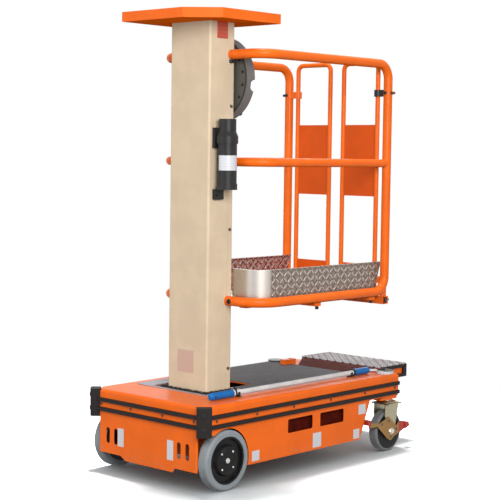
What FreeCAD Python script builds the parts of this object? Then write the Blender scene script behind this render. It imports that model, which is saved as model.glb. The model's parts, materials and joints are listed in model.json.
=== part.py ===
import FreeCAD, Part
import math
import os

# Vertical mast lift, stowed, standing on its wheels.
# Millimetres. +X runs from the mast end to the step end, -Y is the near side,
# +Z is up and the floor is z = 0. Sizes along X are from the mast-end wall;
# save() moves every node so that x = 0 is the middle of the length.
# First come the sizes that are set by themselves, and then the places that
# follow from them.

V = FreeCAD.Vector
X_AXIS = V(1, 0, 0)
Y_AXIS = V(0, 1, 0)
Z_AXIS = V(0, 0, 1)

# Clearances
SEAT = 0.3          # curved piece in its seat
MOVE = 6.0          # between moving bodies
SHEET = 3.0         # folded steel sheet
PAST = 5.0          # how far a cutting solid runs past a face

# Chassis
BODY_LEN = 1325.0
BODY_HALF = 344.0
DECK_TOP = 366.0
DECK_T = 5.0
BAND_H = 104.0
SKIRT_Z0 = 88.0
CORNER = 46.0
EDGE_ROUND = 14.0
SKIRT_BACK_LOW = 293.0
SKIRT_BACK_TOP = 219.0
LIP_YZ = ((165.0, 0.0), (132.0, -18.5), (-160.0, -18.5), (-172.0, 0.0))
SLOT_IN = (98.0, 148.0)
SLOT_W = 24.0
SLOT_H = 71.0
SLOT_DROP = 60.0
WINDOW_X0 = (523.0, 743.0)
WINDOW_LEN = 168.0
WINDOW_H = 61.0
WINDOW_DROP = 13.0
WINDOW_ROUND = 8.0
PAN_UP = 4.0
PAN_T = 8.0
PAN_GAP = 10.0
PAN_IN = 64.0
WALL_GAP = 54.0
WALL_BACK = 22.0
WEB_HALF = 30.0
WEB_H = 30.0
SIDE_RAIL_IN = 108.0
SIDE_RAIL_W = 50.0
BALLAST_X0 = 470.0
BALLAST_END = 10.0
BALLAST_IN = 22.0
BALLAST_DROP = 7.0

# Rubber strips round the deck edge, each by its height above the foot of the band
STRIP_OUT = 12.0
STRIP_H = 16.0
STRIP_UP = (9.5, 51.0)
STRIP_TIP = 5.0

# Corner bumpers, square to the cut corners
BUMP_W = 64.0
BUMP_OUT = 45.0
BUMP_ROUND = 10.0
BUMP_H = 122.0
BUMP_DROP = 1.0

# Mast
MAST_X0 = 239.0
MAST_L = 154.0
MAST_HALF = 120.0
MAST_WALL = 5.0
MAST_UP = 12.0
MAST_ROUND = 10.0
SEAM_BACK = 36.0
SEAM_W = 3.0
SEAM_D = 1.5
INNER_GAP = 8.0
INNER_WALL = 6.0
INNER_DROP = 88.0
PAD_DROP = (60.0, 480.0)
PAD_H = 50.0

# Opening in the deck round the mast, and the plate round it
OPEN_GAP = 22.0
OPEN_IN = 148.0
OPEN_ROUND = 20.0
WELL_L = 155.0
WELL_HALF = 85.0
PLATE_BACK = 18.0
PLATE_FRONT = 21.0
PLATE_NEAR = 26.0
PLATE_IN = 55.0
PLATE_T = 3.0
MAT_GAP = 4.0
MAT_BACK = 173.0
MAT_POLE = 43.0
MAT_IN = 24.0
MAT_ROUND = 8.0
BRUSH_H = 14.0
BRUSH_L = 40.0

# Tray on the mast
TRAY_BACK = 169.0
TRAY_FRONT = 148.0
TRAY_HALF = 251.0
TRAY_UP = 1215.0
TRAY_H = 42.0
TRAY_T = 3.0
TRAY_CUT_X = 108.0
TRAY_CUT_Y = 129.0

# Platform: heights are above or below the top of its floor
FLOOR_TOP = 753.0
FLOOR_T = 6.0
POST_AHEAD = 852.0
FLOOR_SHORT = 33.0
RAIL_D = 42.0
RAIL_MID_D = 38.0
RAIL_Y = 307.0
RAIL_BACK = 23.0
RAIL_LOW_BACK = 30.0
RAIL_BEND = 90.0
RAIL_BEND_LOW = 120.0
CORNER_BEND = 70.0
RAIL_TOP_UP = 1079.0
RAIL_MID_UP = 616.0
RAIL_LOW_UP = 11.0
MEMBER_H = 20.0
MEMBER_W = 40.0
LONG_H = 12.0
LONG_Y = 205.0
FOOT_BACK = (487.0, 92.0)
FOOT_Y = 300.0
FOOT_R = 8.0
FOOT_DOWN = 40.0
END_W = 40.0
END_HALF = 322.0
END_H = 36.7
END_DOWN = 49.0
TAB_HALF = 3.0
TOE_H = 150.0
TOE_T = 3.0
TOE_LIP = 14.0
TOE_GAP = 2.5
TOE_AHEAD = 3.0
TOE_ROOT = 1.0
TOE_CURVE = 87.0
TOE_SHORT = 5.0
TOE_CUT = ((52.0, -7.0), (7.0, 127.0))

# Gates: heights are above the top of the platform floor
GATE_OFF = 59.0
GATE_IN = 42.0
GATE_D = 22.0
GATE_H = 1100.0
GATE_UP = 22.0
GATE_BEND = 30.0
PANEL_UP = 457.0
PANEL_H = 340.0
PANEL_T = 3.0
PANEL_IN = 9.0
KICK_UP = 9.0
KICK_H = 124.0
HINGE_UP = (47.0, 929.0)
HINGE_H = 32.0
HINGE_WALL = 7.0
LUG_HALF = 8.0
NOTCH_IN = 26.0
NOTCH_UP = 6.0

# Hand wheel
HW_R = 185.0
HW_T = 50.0
HW_AHEAD = 9.0
HW_Y = 0.0
HW_DROP = 238.0
HW_FLANGE = 24.0
NOTCH_R = 25.0
NOTCH_COUNT = 4
NOTCH_START = 9.3
BOSS_R = 48.0
GRIP_R = 16.0
GRIP_L = 105.0
GRIP_AT = 140.0

# Document tube. SPINE and EARS are boxes x0, x1, z0, z1 and EAR_HOLE is x, z
# and radius, all from the middle of the tube's foot.
DOC_AHEAD = 58.0
DOC_D = 83.0
DOC_CAP_D = 75.0
DOC_UP = 497.0
DOC_H = 302.0
DOC_GAP = 11.0
COLLAR_D = 93.0
COLLAR_UP = 197.0
COLLAR_H = 31.0
SHOULDER_H = 21.0
SPINE = (-7.0, 21.0, -43.0, 265.0)
EARS = ((-39.0, 3.0, 178.0, 265.0), (-35.0, 19.0, -43.0, 2.0))
EAR_HOLE = (-23.0, -26.0, 5.0)
SPINE_T = 14.0
STRAP_H = 26.0

# Main wheels
WHEEL_X = 136.0
WHEEL_R = 128.0
WHEEL_W = 55.0
WHEEL_OUT = 7.0
TYRE_H = 27.0
TYRE_ROUND = 10.0
RIM_LIP = 8.0
HUB_IN = 4.0
HUB_R = 68.0
HUB_FACE_R = 61.0
HUB_OUT = 2.0
DISH = 12.0
AXLE_R = 14.0
AXLE_PAST = 10.0
HANGER_HALF = 34.0
HANGER_T = 8.0
HANGER_GAP = 8.0
HANGER_DOWN = 30.0

# Castors. Outlines of fork, brake and pedals are x, z from the axle.
CASTOR_BACK = 57.0
CASTOR_IN = 26.0
TRAIL = 9.0
CASTOR_R = 98.0
CASTOR_W = 46.0
CASTOR_ROUND = 8.0
FORK_GAP = 6.0
FORK_T = 5.0
FORK_DOWN = 14.0
CASTOR_DOWN = 16.0
CROWN_HALF = 51.5
CROWN_T = 6.0
PIVOT_R = 26.0
PIN_R = 9.0
PIN_PAST = 6.0
FORK_XZ = ((49.0, 75.0), (25.0, -16.0), (-23.0, -16.0), (-46.0, 82.0))
BRAKE_XZ = ((-114.0, 40.0), (-19.0, 70.0), (41.0, 20.0), (59.0, 37.0), (131.0, 28.0),
            (139.0, 9.0), (25.0, -29.0), (-3.0, -46.0), (-31.0, -32.0))
BRAKE_T = 4.0
PEDAL_XZ = ((106.0, 31.0), (131.0, 28.0), (139.0, 9.0), (106.0, -2.0))
PEDAL_IN = 30.0
PEDAL_OUT = 10.0
HEEL = (-187.0, -165.0, 50.0, 72.0)
HEEL_ARM = (-172.0, -100.0, 34.0, 54.0)
MOUNT_L = 124.0
MOUNT_OUT = 20.0
MOUNT_T = 4.0

# Step
STEP_BACK = 25.0
STEP_OUT = 193.0
STEP_SIDE = 94.0
STEP_IN = 10.0
STEP_UP = 21.0
STEP_DOWN = 45.0
TREAD_T = 4.0
TRIM_H = 16.0
TRIM_L = 26.0
RAMP_L = 135.0
RAMP_SIDE = 10.0
RAMP_TAPER = 90.0
RAMP_EDGE = 2.0

# Pole lying along the deck. Of each grip and clip, one is placed from the
# mast end of the pole and one from its other end.
POLE_IN = 96.0
POLE_D = 22.0
POLE_UP = 17.0
POLE_X0 = 141.0
POLE_BACK = 120.0
GRIP_L0 = 126.0
GRIP_L1 = 100.0
GRIP_PAST = 3.0
GRIP_SHORT = 2.0
GRIP_WALL = 5.0
FLANGE_L = 5.0
FLANGE_H = 0.6
CLIP_L = 12.0
CLIP_AT = 151.0
CLIP_BACK = 139.0
CLIP_HALF = 14.0
CLIP_UP = 4.0
DISC_IN = 47.0
DISC_R = 42.0
DISC_H = 16.0
ARM_R = 6.0

# Cap and socket block at the far castor corner
CAP_BACK = 154.0
CAP_IN = 39.0
CAP_R = 39.0
CAP_H = 10.0
BLOCK_BACK = 215.0
BLOCK_L = 80.0
BLOCK_HALF = 16.0
BLOCK_H = 26.0
SOCKET_AT = 55.0
SOCKET_IN = 138.0
SOCKET_R = 11.0

# Places that follow
deck_low = DECK_TOP - DECK_T
band_z0 = DECK_TOP - BAND_H
in_half = BODY_HALF - SHEET
pan_z0 = SKIRT_Z0 + PAN_UP
pan_top = pan_z0 + PAN_T
wheel_y = BODY_HALF + WHEEL_OUT
wall_x0 = WHEEL_X + WALL_GAP
wall_x1 = BODY_LEN - SKIRT_BACK_LOW - WALL_BACK
side_rail_y = BODY_HALF - SIDE_RAIL_IN
bump_z1 = DECK_TOP - BUMP_DROP
bump_z0 = bump_z1 - BUMP_H
mast_x1 = MAST_X0 + MAST_L
mast_z0 = pan_top + MAST_UP
tray_z0 = FLOOR_TOP + TRAY_UP
tray_x0 = MAST_X0 - TRAY_BACK
tray_x1 = mast_x1 + TRAY_FRONT
inner_top = tray_z0 - INNER_DROP
open_x0 = MAST_X0 - OPEN_GAP
open_x1 = mast_x1 + OPEN_GAP
open_y0 = -MAST_HALF - OPEN_GAP
open_y1 = BODY_HALF - OPEN_IN
well_x1 = open_x1 + WELL_L
post_x = mast_x1 + POST_AHEAD
floor_z0 = FLOOR_TOP - FLOOR_T
floor_x1 = post_x - FLOOR_SHORT
rail_root = mast_x1 - RAIL_BACK
rail_low_root = mast_x1 - RAIL_LOW_BACK
rail_top_z = FLOOR_TOP + RAIL_TOP_UP
rail_mid_z = FLOOR_TOP + RAIL_MID_UP
rail_low_z = FLOOR_TOP + RAIL_LOW_UP
toe_y = RAIL_Y - RAIL_D / 2 - TOE_GAP
toe_x0 = mast_x1 + TOE_AHEAD
toe_x1 = post_x - TOE_SHORT
toe_top = FLOOR_TOP + TOE_H
gate_leg = RAIL_Y - GATE_OFF
gate_top = FLOOR_TOP + GATE_H
kick_z0 = FLOOR_TOP + KICK_UP
hw_x = mast_x1 + HW_AHEAD
hw_z = tray_z0 - HW_DROP
doc_x = MAST_X0 + DOC_AHEAD
doc_z0 = FLOOR_TOP + DOC_UP
castor_x = BODY_LEN - CASTOR_BACK
castor_y = BODY_HALF - CASTOR_IN
castor_plate_z = band_z0 - CASTOR_DOWN
step_x0 = BODY_LEN - STEP_BACK
step_x1 = BODY_LEN + STEP_OUT
step_half = BODY_HALF - STEP_SIDE
step_top = DECK_TOP + STEP_UP
step_z0 = DECK_TOP - STEP_DOWN
pole_y = -(BODY_HALF - POLE_IN)
pole_z = DECK_TOP + POLE_UP
pole_x1 = BODY_LEN - POLE_BACK
block_x0 = BODY_LEN - BLOCK_BACK
socket_y = BODY_HALF - SOCKET_IN


def box(x0, x1, y0, y1, z0, z1):
    """Box between two corners."""
    return Part.makeBox(x1 - x0, y1 - y0, z1 - z0, V(x0, y0, z0))


def side_box(x0, x1, side, a, b, z0, z1):
    """Box on one side of the centre plane, a and b from it."""
    y0, y1 = sorted((side * a, side * b))
    return box(x0, x1, y0, y1, z0, z1)


def rod(r, h, base, axis):
    """Cylinder of radius r and length h from base along axis."""
    return Part.makeCylinder(r, h, base, axis)


def ring(r_out, r_in, h, base, axis):
    """Plain ring."""
    return rod(r_out, h, base, axis).cut(rod(r_in, h, base, axis))


def prism(points, axis, depth):
    """Straight prism over a closed outline."""
    wire = Part.makePolygon([V(*p) for p in points] + [V(*points[0])])
    return Part.Face(wire).extrude(axis * depth)


def joined(shapes):
    """One shape out of touching solids."""
    whole = shapes[0]
    for shape in shapes[1:]:
        whole = whole.fuse(shape)
    return whole.removeSplitter()


def bent_tube(points, bends, diameter):
    """Round bar along points, each corner rounded to its own bend radius."""
    pts = [V(*p) for p in points]
    edges = []
    last = pts[0]
    for i in range(1, len(pts) - 1):
        bend = bends[i - 1]
        back = (pts[i - 1] - pts[i]).normalize()
        ahead = (pts[i + 1] - pts[i]).normalize()
        half = back.getAngle(ahead) / 2
        cut = bend / math.tan(half)
        a = pts[i] + back * cut
        b = pts[i] + ahead * cut
        middle = (back + ahead).normalize()
        centre = pts[i] + middle * (bend / math.sin(half))
        m = centre - middle * bend
        edges.append(Part.makeLine(last, a))
        edges.append(Part.Arc(a, m, b).toShape())
        last = b
    edges.append(Part.makeLine(last, pts[-1]))
    path = Part.Wire(edges)
    start = (pts[1] - pts[0]).normalize()
    circle = Part.Wire(Part.makeCircle(diameter / 2, pts[0], start))
    return path.makePipeShell([circle], True, True)


def mirrored(shape):
    """Copy of the shape on the other side of the centre plane."""
    return shape.mirror(V(0, 0, 0), Y_AXIS)


def both(shape):
    """The shape and its mirror copy."""
    return Part.makeCompound([shape, mirrored(shape)])


def edges_along(shape, axis):
    """The straight edges of a shape that run along an axis."""
    straight = [e for e in shape.Edges if e.Curve.TypeId == "Part::GeomLine"]
    return [e for e in straight if abs(e.tangentAt(0).dot(axis)) > 0.9]


def rounded_box(x0, x1, y0, y1, z0, z1, r, axis=Z_AXIS):
    """Box with its four edges along one axis rounded."""
    solid = box(x0, x1, y0, y1, z0, z1)
    return solid.makeFillet(r, edges_along(solid, axis))


# The bumper tips reach furthest towards the mast end
bump_tip_x = CORNER / 2 - (BUMP_OUT + BUMP_W / 2 - 2 * BUMP_ROUND) / math.sqrt(2) - BUMP_ROUND
origin_x = (step_x1 + bump_tip_x) / 2


def save(name, shape):
    """Write one node, with the origin moved to the middle of the length."""
    placed = shape.copy()
    placed.translate(V(-origin_x, 0, 0))
    placed.exportStep("parts/" + name + ".step")


def outline(x0, x1, half, z):
    """Chassis plan: rectangle with the two mast-end corners cut."""
    return [(x0, -(half - CORNER), z), (x0 + CORNER, -half, z), (x1, -half, z),
            (x1, half, z), (x0 + CORNER, half, z), (x0, half - CORNER, z)]


def deck_hole(z0, z1):
    """Opening round the mast with the well in front of it."""
    around = rounded_box(open_x0, open_x1, open_y0, open_y1, z0, z1, OPEN_ROUND)
    well = rounded_box(open_x1 - 2 * OPEN_ROUND, well_x1, -WELL_HALF, WELL_HALF, z0, z1, OPEN_ROUND)
    return around.fuse(well)


os.makedirs("parts", exist_ok=True)

# Deck cover with its turned-down rim
cover = prism(outline(0, BODY_LEN, BODY_HALF, band_z0), Z_AXIS, BAND_H)
top_edges = [e for e in cover.Edges if min(v.Z for v in e.Vertexes) > deck_low]
cover = cover.makeFillet(EDGE_ROUND, top_edges)
hollow = prism(outline(SHEET, BODY_LEN - SHEET, in_half, band_z0), Z_AXIS, deck_low - band_z0)
cover = cover.cut(hollow).cut(deck_hole(band_z0, DECK_TOP + PAST))
save("deck_cover", cover)

# Chassis frame: skirts under the rim, floor pan, walls and the two rails under the deck
skirt_h = band_z0 - SKIRT_Z0
skirt = prism(outline(0, BODY_LEN, BODY_HALF, SKIRT_Z0), Z_AXIS, skirt_h)
skirt = skirt.cut(prism(outline(SHEET, BODY_LEN, in_half, SKIRT_Z0), Z_AXIS, skirt_h))
far_out = BODY_HALF + PAST
rear_cut = prism([(BODY_LEN - SKIRT_BACK_LOW, -far_out, SKIRT_Z0), (BODY_LEN + PAST, -far_out, SKIRT_Z0),
                  (BODY_LEN + PAST, -far_out, band_z0), (BODY_LEN - SKIRT_BACK_TOP, -far_out, band_z0)],
                 Y_AXIS, 2 * far_out)
skirt = skirt.cut(rear_cut)
arch_r = WHEEL_R + MOVE + 1
for side in (-1, 1):
    y0 = min(side * (in_half - 2), side * far_out)
    skirt = skirt.cut(rod(arch_r, far_out - in_half + 2, V(WHEEL_X, y0, WHEEL_R), Y_AXIS))
    skirt = skirt.cut(side_box(SHEET, WHEEL_X, side, BODY_HALF - CORNER + SHEET, far_out,
                               SKIRT_Z0, bump_z0))
slot_r = SLOT_W / 2
slot_z1 = band_z0 - SLOT_DROP
for slot_in in SLOT_IN:
    for y in (slot_in - BODY_HALF, BODY_HALF - slot_in):
        skirt = skirt.cut(rounded_box(-PAST, SHEET + PAST, y - slot_r, y + slot_r,
                                      slot_z1 - SLOT_H, slot_z1, slot_r - SEAT, X_AXIS))
window_z1 = band_z0 - WINDOW_DROP
for x in WINDOW_X0:
    skirt = skirt.cut(rounded_box(x, x + WINDOW_LEN, -far_out, far_out, window_z1 - WINDOW_H,
                                  window_z1, WINDOW_ROUND, Y_AXIS))
lip = prism([(0, y, SKIRT_Z0 + up) for y, up in LIP_YZ], X_AXIS, SHEET)
pan_x1 = WHEEL_X + WHEEL_R + PAN_GAP
narrow = BODY_HALF - PAN_IN
pan = box(pan_x1, wall_x1, -in_half, in_half, pan_z0, pan_top)
pan = pan.fuse(box(wall_x0, pan_x1, -narrow, narrow, pan_z0, pan_top))
frame = [skirt, lip, pan]
frame.append(box(wall_x0, wall_x0 + PAN_T, -narrow, narrow, pan_z0, deck_low))
frame.append(box(wall_x1 - PAN_T, wall_x1, -in_half, in_half, pan_z0, deck_low))
for side in (-1, 1):
    frame.append(side_box(SHEET + MOVE, BODY_LEN - SHEET, side, side_rail_y,
                          side_rail_y + SIDE_RAIL_W, band_z0, deck_low))
frame.append(box(0, wall_x0, -WEB_HALF, WEB_HALF, band_z0 - WEB_H, band_z0))
save("chassis_frame", joined(frame))
ballast_half = BODY_HALF - BALLAST_IN
save("ballast_box", box(BALLAST_X0, wall_x1 - BALLAST_END, -ballast_half, ballast_half, pan_top,
                        band_z0 - BALLAST_DROP))

# Corner bumpers on the cut corners
flat = math.sqrt(0.5)


def bumper_block(width, start, r):
    """Upright pad on the near corner facet, start mm from the facet."""
    cx = CORNER / 2
    cy = -(BODY_HALF - CORNER / 2)
    pts = []
    for along, out in ((-1, start), (1, start), (1, BUMP_OUT), (-1, BUMP_OUT)):
        w = along * width / 2
        pts.append((cx - out * flat + w * flat, cy - out * flat - w * flat, bump_z0))
    pad = prism(pts, Z_AXIS, BUMP_H)
    if r == 0:
        return pad
    outer_edges = [e for e in edges_along(pad, Z_AXIS)
                   if (cx - e.Vertexes[0].X + cy - e.Vertexes[0].Y) * flat > BUMP_OUT - 1]
    return pad.makeFillet(r, outer_edges)


save("corner_bumpers", both(bumper_block(BUMP_W, 0, BUMP_ROUND)))
bumper_room = bumper_block(BUMP_W + 2 * SEAT, -1, 0)
bumper_room = bumper_room.fuse(mirrored(bumper_room))

# Rubber strips round the rim
strips = []
for up in STRIP_UP:
    z = band_z0 + up
    outer = prism(outline(-STRIP_OUT, BODY_LEN, BODY_HALF + STRIP_OUT, z), Z_AXIS, STRIP_H)
    tips = [e for e in edges_along(outer, Z_AXIS) if e.Vertexes[0].X > BODY_LEN - 1]
    outer = outer.makeFillet(STRIP_TIP, tips)
    inner = prism(outline(0, BODY_LEN + 1, BODY_HALF, z), Z_AXIS, STRIP_H)
    strips.append(outer.cut(inner).cut(bumper_room))
save("edge_strips", Part.makeCompound(strips))

# Plate, brush seal and mat on the deck
plate_top = DECK_TOP + PLATE_T
plate_x1 = open_x1 + PLATE_FRONT
plate = rounded_box(open_x0 - PLATE_BACK, plate_x1, open_y0 - PLATE_NEAR, BODY_HALF - PLATE_IN,
                    DECK_TOP, plate_top, OPEN_ROUND)
save("opening_plate", plate.cut(deck_hole(DECK_TOP, plate_top)))
brush_z0 = deck_low - BRUSH_H
brush = deck_hole(brush_z0, DECK_TOP - 1)
brush = brush.common(box(open_x0, mast_x1 + MOVE + BRUSH_L, open_y0, open_y1, brush_z0, DECK_TOP - 1))
brush = brush.cut(box(MAST_X0 - MOVE, mast_x1 + MOVE, -MAST_HALF - MOVE, MAST_HALF + MOVE,
                      brush_z0, DECK_TOP))
save("brush_seal", brush)
mat = rounded_box(plate_x1 + MAT_GAP, BODY_LEN - MAT_BACK, pole_y + MAT_POLE, BODY_HALF - MAT_IN,
                  DECK_TOP, plate_top, MAT_ROUND)
mat = mat.cut(deck_hole(DECK_TOP, plate_top))

# Step with its tread, its trim and the sloping apron in front of it
tread_z0 = step_top - TREAD_T
step_y = step_half - STEP_IN
face_x = step_x1 - STEP_IN
step = box(step_x0, face_x, -step_y, step_y, DECK_TOP, tread_z0)
step_end = box(BODY_LEN, face_x, -step_y, step_y, step_z0, tread_z0)
step_end = step_end.cut(box(BODY_LEN + SHEET, face_x - SHEET, -step_y + SHEET, step_y - SHEET,
                            step_z0, tread_z0 - SHEET))
save("step_box", joined([step, step_end]))
save("step_tread", rounded_box(step_x0 - TREAD_T, step_x1, -step_half, step_half, tread_z0,
                               step_top, EDGE_ROUND))
trim = box(BODY_LEN, step_x1, -step_half, step_half, step_z0, tread_z0)
trim = trim.cut(box(BODY_LEN, face_x, -step_y, step_y, step_z0, tread_z0))
low = step_z0 + TRIM_H
high = tread_z0 - TRIM_H
trim = trim.cut(box(BODY_LEN, step_x1 - TRIM_L, -step_half, step_half, low, high))
trim = trim.cut(box(BODY_LEN, step_x1, -step_half + TRIM_L, step_half - TRIM_L, low, high))
save("step_trim", trim)
ramp_x0 = step_x0 - RAMP_L
wide = step_half - RAMP_SIDE
narrow = wide - RAMP_TAPER
ramp = prism([(ramp_x0, -narrow, DECK_TOP), (ramp_x0, narrow, DECK_TOP),
              (step_x0, wide, DECK_TOP), (step_x0, -wide, DECK_TOP)],
             Z_AXIS, tread_z0 - DECK_TOP)
over = prism([(ramp_x0, -far_out, DECK_TOP + RAMP_EDGE), (step_x0, -far_out, tread_z0),
              (step_x0, -far_out, tread_z0 + PAST), (ramp_x0, -far_out, tread_z0 + PAST)],
             Y_AXIS, 2 * far_out)
save("step_apron", ramp.cut(over))

# Round cap and socket block at the far castor corner
cap_x = BODY_LEN - CAP_BACK
cap_y = BODY_HALF - CAP_IN
cap = rod(CAP_R, CAP_H, V(cap_x, cap_y, DECK_TOP), Z_AXIS)
block = box(block_x0, block_x0 + BLOCK_L, socket_y - BLOCK_HALF, socket_y + BLOCK_HALF,
            DECK_TOP, DECK_TOP + BLOCK_H)
socket_x = block_x0 + SOCKET_AT
block = block.cut(rod(SOCKET_R, BLOCK_H, V(socket_x, socket_y, DECK_TOP + SHEET), Z_AXIS))
save("deck_fittings", Part.makeCompound([cap, block]))
mat = mat.cut(rod(CAP_R + MOVE, PLATE_T, V(cap_x, cap_y, DECK_TOP), Z_AXIS))
mat = mat.cut(box(block_x0 - MOVE, block_x0 + BLOCK_L + MOVE, socket_y - BLOCK_HALF - MOVE,
                  socket_y + BLOCK_HALF + MOVE, DECK_TOP, plate_top))
save("deck_mat", mat)

# Pole with its head, grips and clips
pole_r = POLE_D / 2
pole = rod(pole_r, pole_x1 - POLE_X0, V(POLE_X0, pole_y, pole_z), X_AXIS)
disc = V(BODY_LEN - DISC_IN, DISC_IN - BODY_HALF, DECK_TOP)
head = rod(DISC_R, DISC_H, disc, Z_AXIS)
arm_start = V(pole_x1, pole_y, DECK_TOP + DISC_H)
reach = disc - V(pole_x1, pole_y, DECK_TOP)
arm = rod(ARM_R, reach.Length, arm_start, reach)
elbow = Part.makeSphere(pole_r, V(pole_x1, pole_y, pole_z))
save("deck_pole", joined([pole, elbow, arm, head]))
grip_x0 = POLE_X0 - GRIP_PAST
grip_r = pole_r + GRIP_WALL


def sleeve(r, x0, length):
    """Ring round the pole."""
    return ring(r, pole_r + SEAT, length, V(x0, pole_y, pole_z), X_AXIS)


first = joined([sleeve(grip_r, grip_x0, GRIP_L0),
                sleeve(grip_r + FLANGE_H, grip_x0 + GRIP_L0 - FLANGE_L, FLANGE_L)])
second = sleeve(grip_r, pole_x1 - GRIP_SHORT - GRIP_L1, GRIP_L1)
save("pole_grips", Part.makeCompound([first, second]))
clips = []
for x0 in (POLE_X0 + CLIP_AT, pole_x1 - CLIP_BACK):
    clip = box(x0, x0 + CLIP_L, pole_y - CLIP_HALF, pole_y + CLIP_HALF, DECK_TOP, pole_z + CLIP_UP)
    clips.append(clip.cut(rod(pole_r + SEAT, CLIP_L, V(x0, pole_y, pole_z), X_AXIS)))
save("pole_clips", Part.makeCompound(clips))

# Main wheels, and the stub axles on their brackets
rim_r = WHEEL_R - TYRE_H
tyre_in = wheel_y - WHEEL_W
tyre = ring(WHEEL_R, rim_r + SEAT, WHEEL_W, V(WHEEL_X, -wheel_y, WHEEL_R), Y_AXIS)
tyre_edges = [e for e in tyre.Edges if abs(e.BoundBox.XLength - 2 * WHEEL_R) < 1]
tyre = tyre.makeFillet(TYRE_ROUND, tyre_edges)
face = V(WHEEL_X, -wheel_y + HUB_IN, WHEEL_R)
rim = rod(rim_r, WHEEL_W - 2 * HUB_IN, face, Y_AXIS)
rim = rim.cut(rod(rim_r - RIM_LIP, DISH, face, Y_AXIS))
drum = Part.makeCone(HUB_FACE_R, HUB_R, DISH + HUB_OUT, face - Y_AXIS * HUB_OUT, Y_AXIS)
rim = joined([rim, drum])
rim = rim.cut(rod(AXLE_R + SEAT, WHEEL_W, V(WHEEL_X, -wheel_y + DISH, WHEEL_R), Y_AXIS))
for tag, place in (("near", lambda s: s), ("far", mirrored)):
    save("tyre_" + tag, place(tyre))
    save("rim_" + tag, place(rim))
stub = rod(AXLE_R, WHEEL_W + AXLE_PAST, V(WHEEL_X, -wheel_y + DISH + HUB_OUT, WHEEL_R), Y_AXIS)
hanger_y = tyre_in - HANGER_GAP
bracket = side_box(WHEEL_X - HANGER_HALF, WHEEL_X + HANGER_HALF, -1, hanger_y, hanger_y - HANGER_T,
                   WHEEL_R - HANGER_DOWN, band_z0)
hanger = side_box(WHEEL_X - HANGER_HALF, WHEEL_X + HANGER_HALF, -1, hanger_y, side_rail_y,
                  band_z0 - HANGER_T, band_z0)
save("axle_brackets", both(joined([stub, bracket, hanger])))

# Castors
axle_x = castor_x - TRAIL
fork_top = castor_plate_z - FORK_DOWN


def castor_outline(points, y):
    """Upright outline at y, from points given from the castor's axle."""
    return [(axle_x + dx, y, CASTOR_R + dz) for dx, dz in points]


def castor(side):
    """Fork, brake and wheel of one castor; side is -1 near, 1 far."""
    cy = side * castor_y
    half = CASTOR_W / 2 + FORK_GAP
    wheel = rod(CASTOR_R, CASTOR_W, V(axle_x, cy - CASTOR_W / 2, CASTOR_R), Y_AXIS)
    edges = [e for e in wheel.Edges if e.Curve.TypeId == "Part::GeomCircle"]
    wheel = wheel.makeFillet(CASTOR_ROUND, edges)
    wheel = wheel.cut(rod(PIN_R + SEAT, CASTOR_W, V(axle_x, cy - CASTOR_W / 2, CASTOR_R), Y_AXIS))
    shoulders = [(TRAIL - CROWN_HALF, fork_top - CASTOR_R), (TRAIL + CROWN_HALF, fork_top - CASTOR_R)]
    plates = []
    for y0 in (cy - half - FORK_T, cy + half):
        plates.append(prism(castor_outline(shoulders + list(FORK_XZ), y0), Y_AXIS, FORK_T))
    crown = box(castor_x - CROWN_HALF, castor_x + CROWN_HALF, cy - CROWN_HALF, cy + CROWN_HALF,
                fork_top - CROWN_T, fork_top)
    pivot = rod(PIVOT_R, FORK_DOWN - SEAT, V(castor_x, cy, fork_top), Z_AXIS)
    pin_half = half + FORK_T + PIN_PAST
    axle = rod(PIN_R, 2 * pin_half, V(axle_x, cy - pin_half, CASTOR_R), Y_AXIS)
    fork = joined(plates + [crown, pivot, axle])
    yb = cy + side * (half + FORK_T)
    y0 = min(yb, yb + side * BRAKE_T)
    brake = prism(castor_outline(BRAKE_XZ, y0), Y_AXIS, BRAKE_T)
    brake = brake.cut(rod(PIN_R + SEAT, BRAKE_T, V(axle_x, y0, CASTOR_R), Y_AXIS))
    y1 = min(yb - side * PEDAL_IN, yb + side * PEDAL_OUT)
    pedal = prism(castor_outline(PEDAL_XZ, y1), Y_AXIS, PEDAL_IN + PEDAL_OUT)
    heel = box(axle_x + HEEL[0], axle_x + HEEL[1], y1, y1 + PEDAL_IN + PEDAL_OUT,
               CASTOR_R + HEEL[2], CASTOR_R + HEEL[3])
    arm = box(axle_x + HEEL_ARM[0], axle_x + HEEL_ARM[1], y0, y0 + BRAKE_T,
              CASTOR_R + HEEL_ARM[2], CASTOR_R + HEEL_ARM[3])
    return fork, joined([brake, pedal, arm, heel]), wheel


for side, tag in ((-1, "near"), (1, "far")):
    fork, brake, wheel = castor(side)
    save("castor_fork_" + tag, fork)
    save("castor_brake_" + tag, brake)
    save("castor_wheel_" + tag, wheel)
mount_x1 = BODY_LEN - SHEET
mount_x0 = mount_x1 - MOUNT_L
mount = side_box(mount_x0, mount_x1, -1, castor_y + MOUNT_OUT, side_rail_y, castor_plate_z,
                 band_z0 - MOUNT_T)
mount = mount.fuse(side_box(mount_x0, mount_x1, -1, in_half, side_rail_y, band_z0 - MOUNT_T, band_z0))
save("castor_mounts", both(mount.removeSplitter()))

# Inner mast with its slide pads, fixed to the floor pan
slide = MAST_WALL + INNER_GAP
in_x0 = MAST_X0 + slide
in_x1 = mast_x1 - slide
in_y = MAST_HALF - slide
mast = [box(in_x0, in_x1, -in_y, in_y, pan_top, inner_top)]
pad_in = MAST_WALL + SEAT
for drop in PAD_DROP:
    mast.append(box(MAST_X0 + pad_in, mast_x1 - pad_in, -MAST_HALF + pad_in, MAST_HALF - pad_in,
                    inner_top - drop, inner_top - drop + PAD_H))
bore = box(in_x0 + INNER_WALL, in_x1 - INNER_WALL, -in_y + INNER_WALL, in_y - INNER_WALL,
           pan_top, inner_top)
save("inner_mast", joined(mast).cut(bore))

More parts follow.
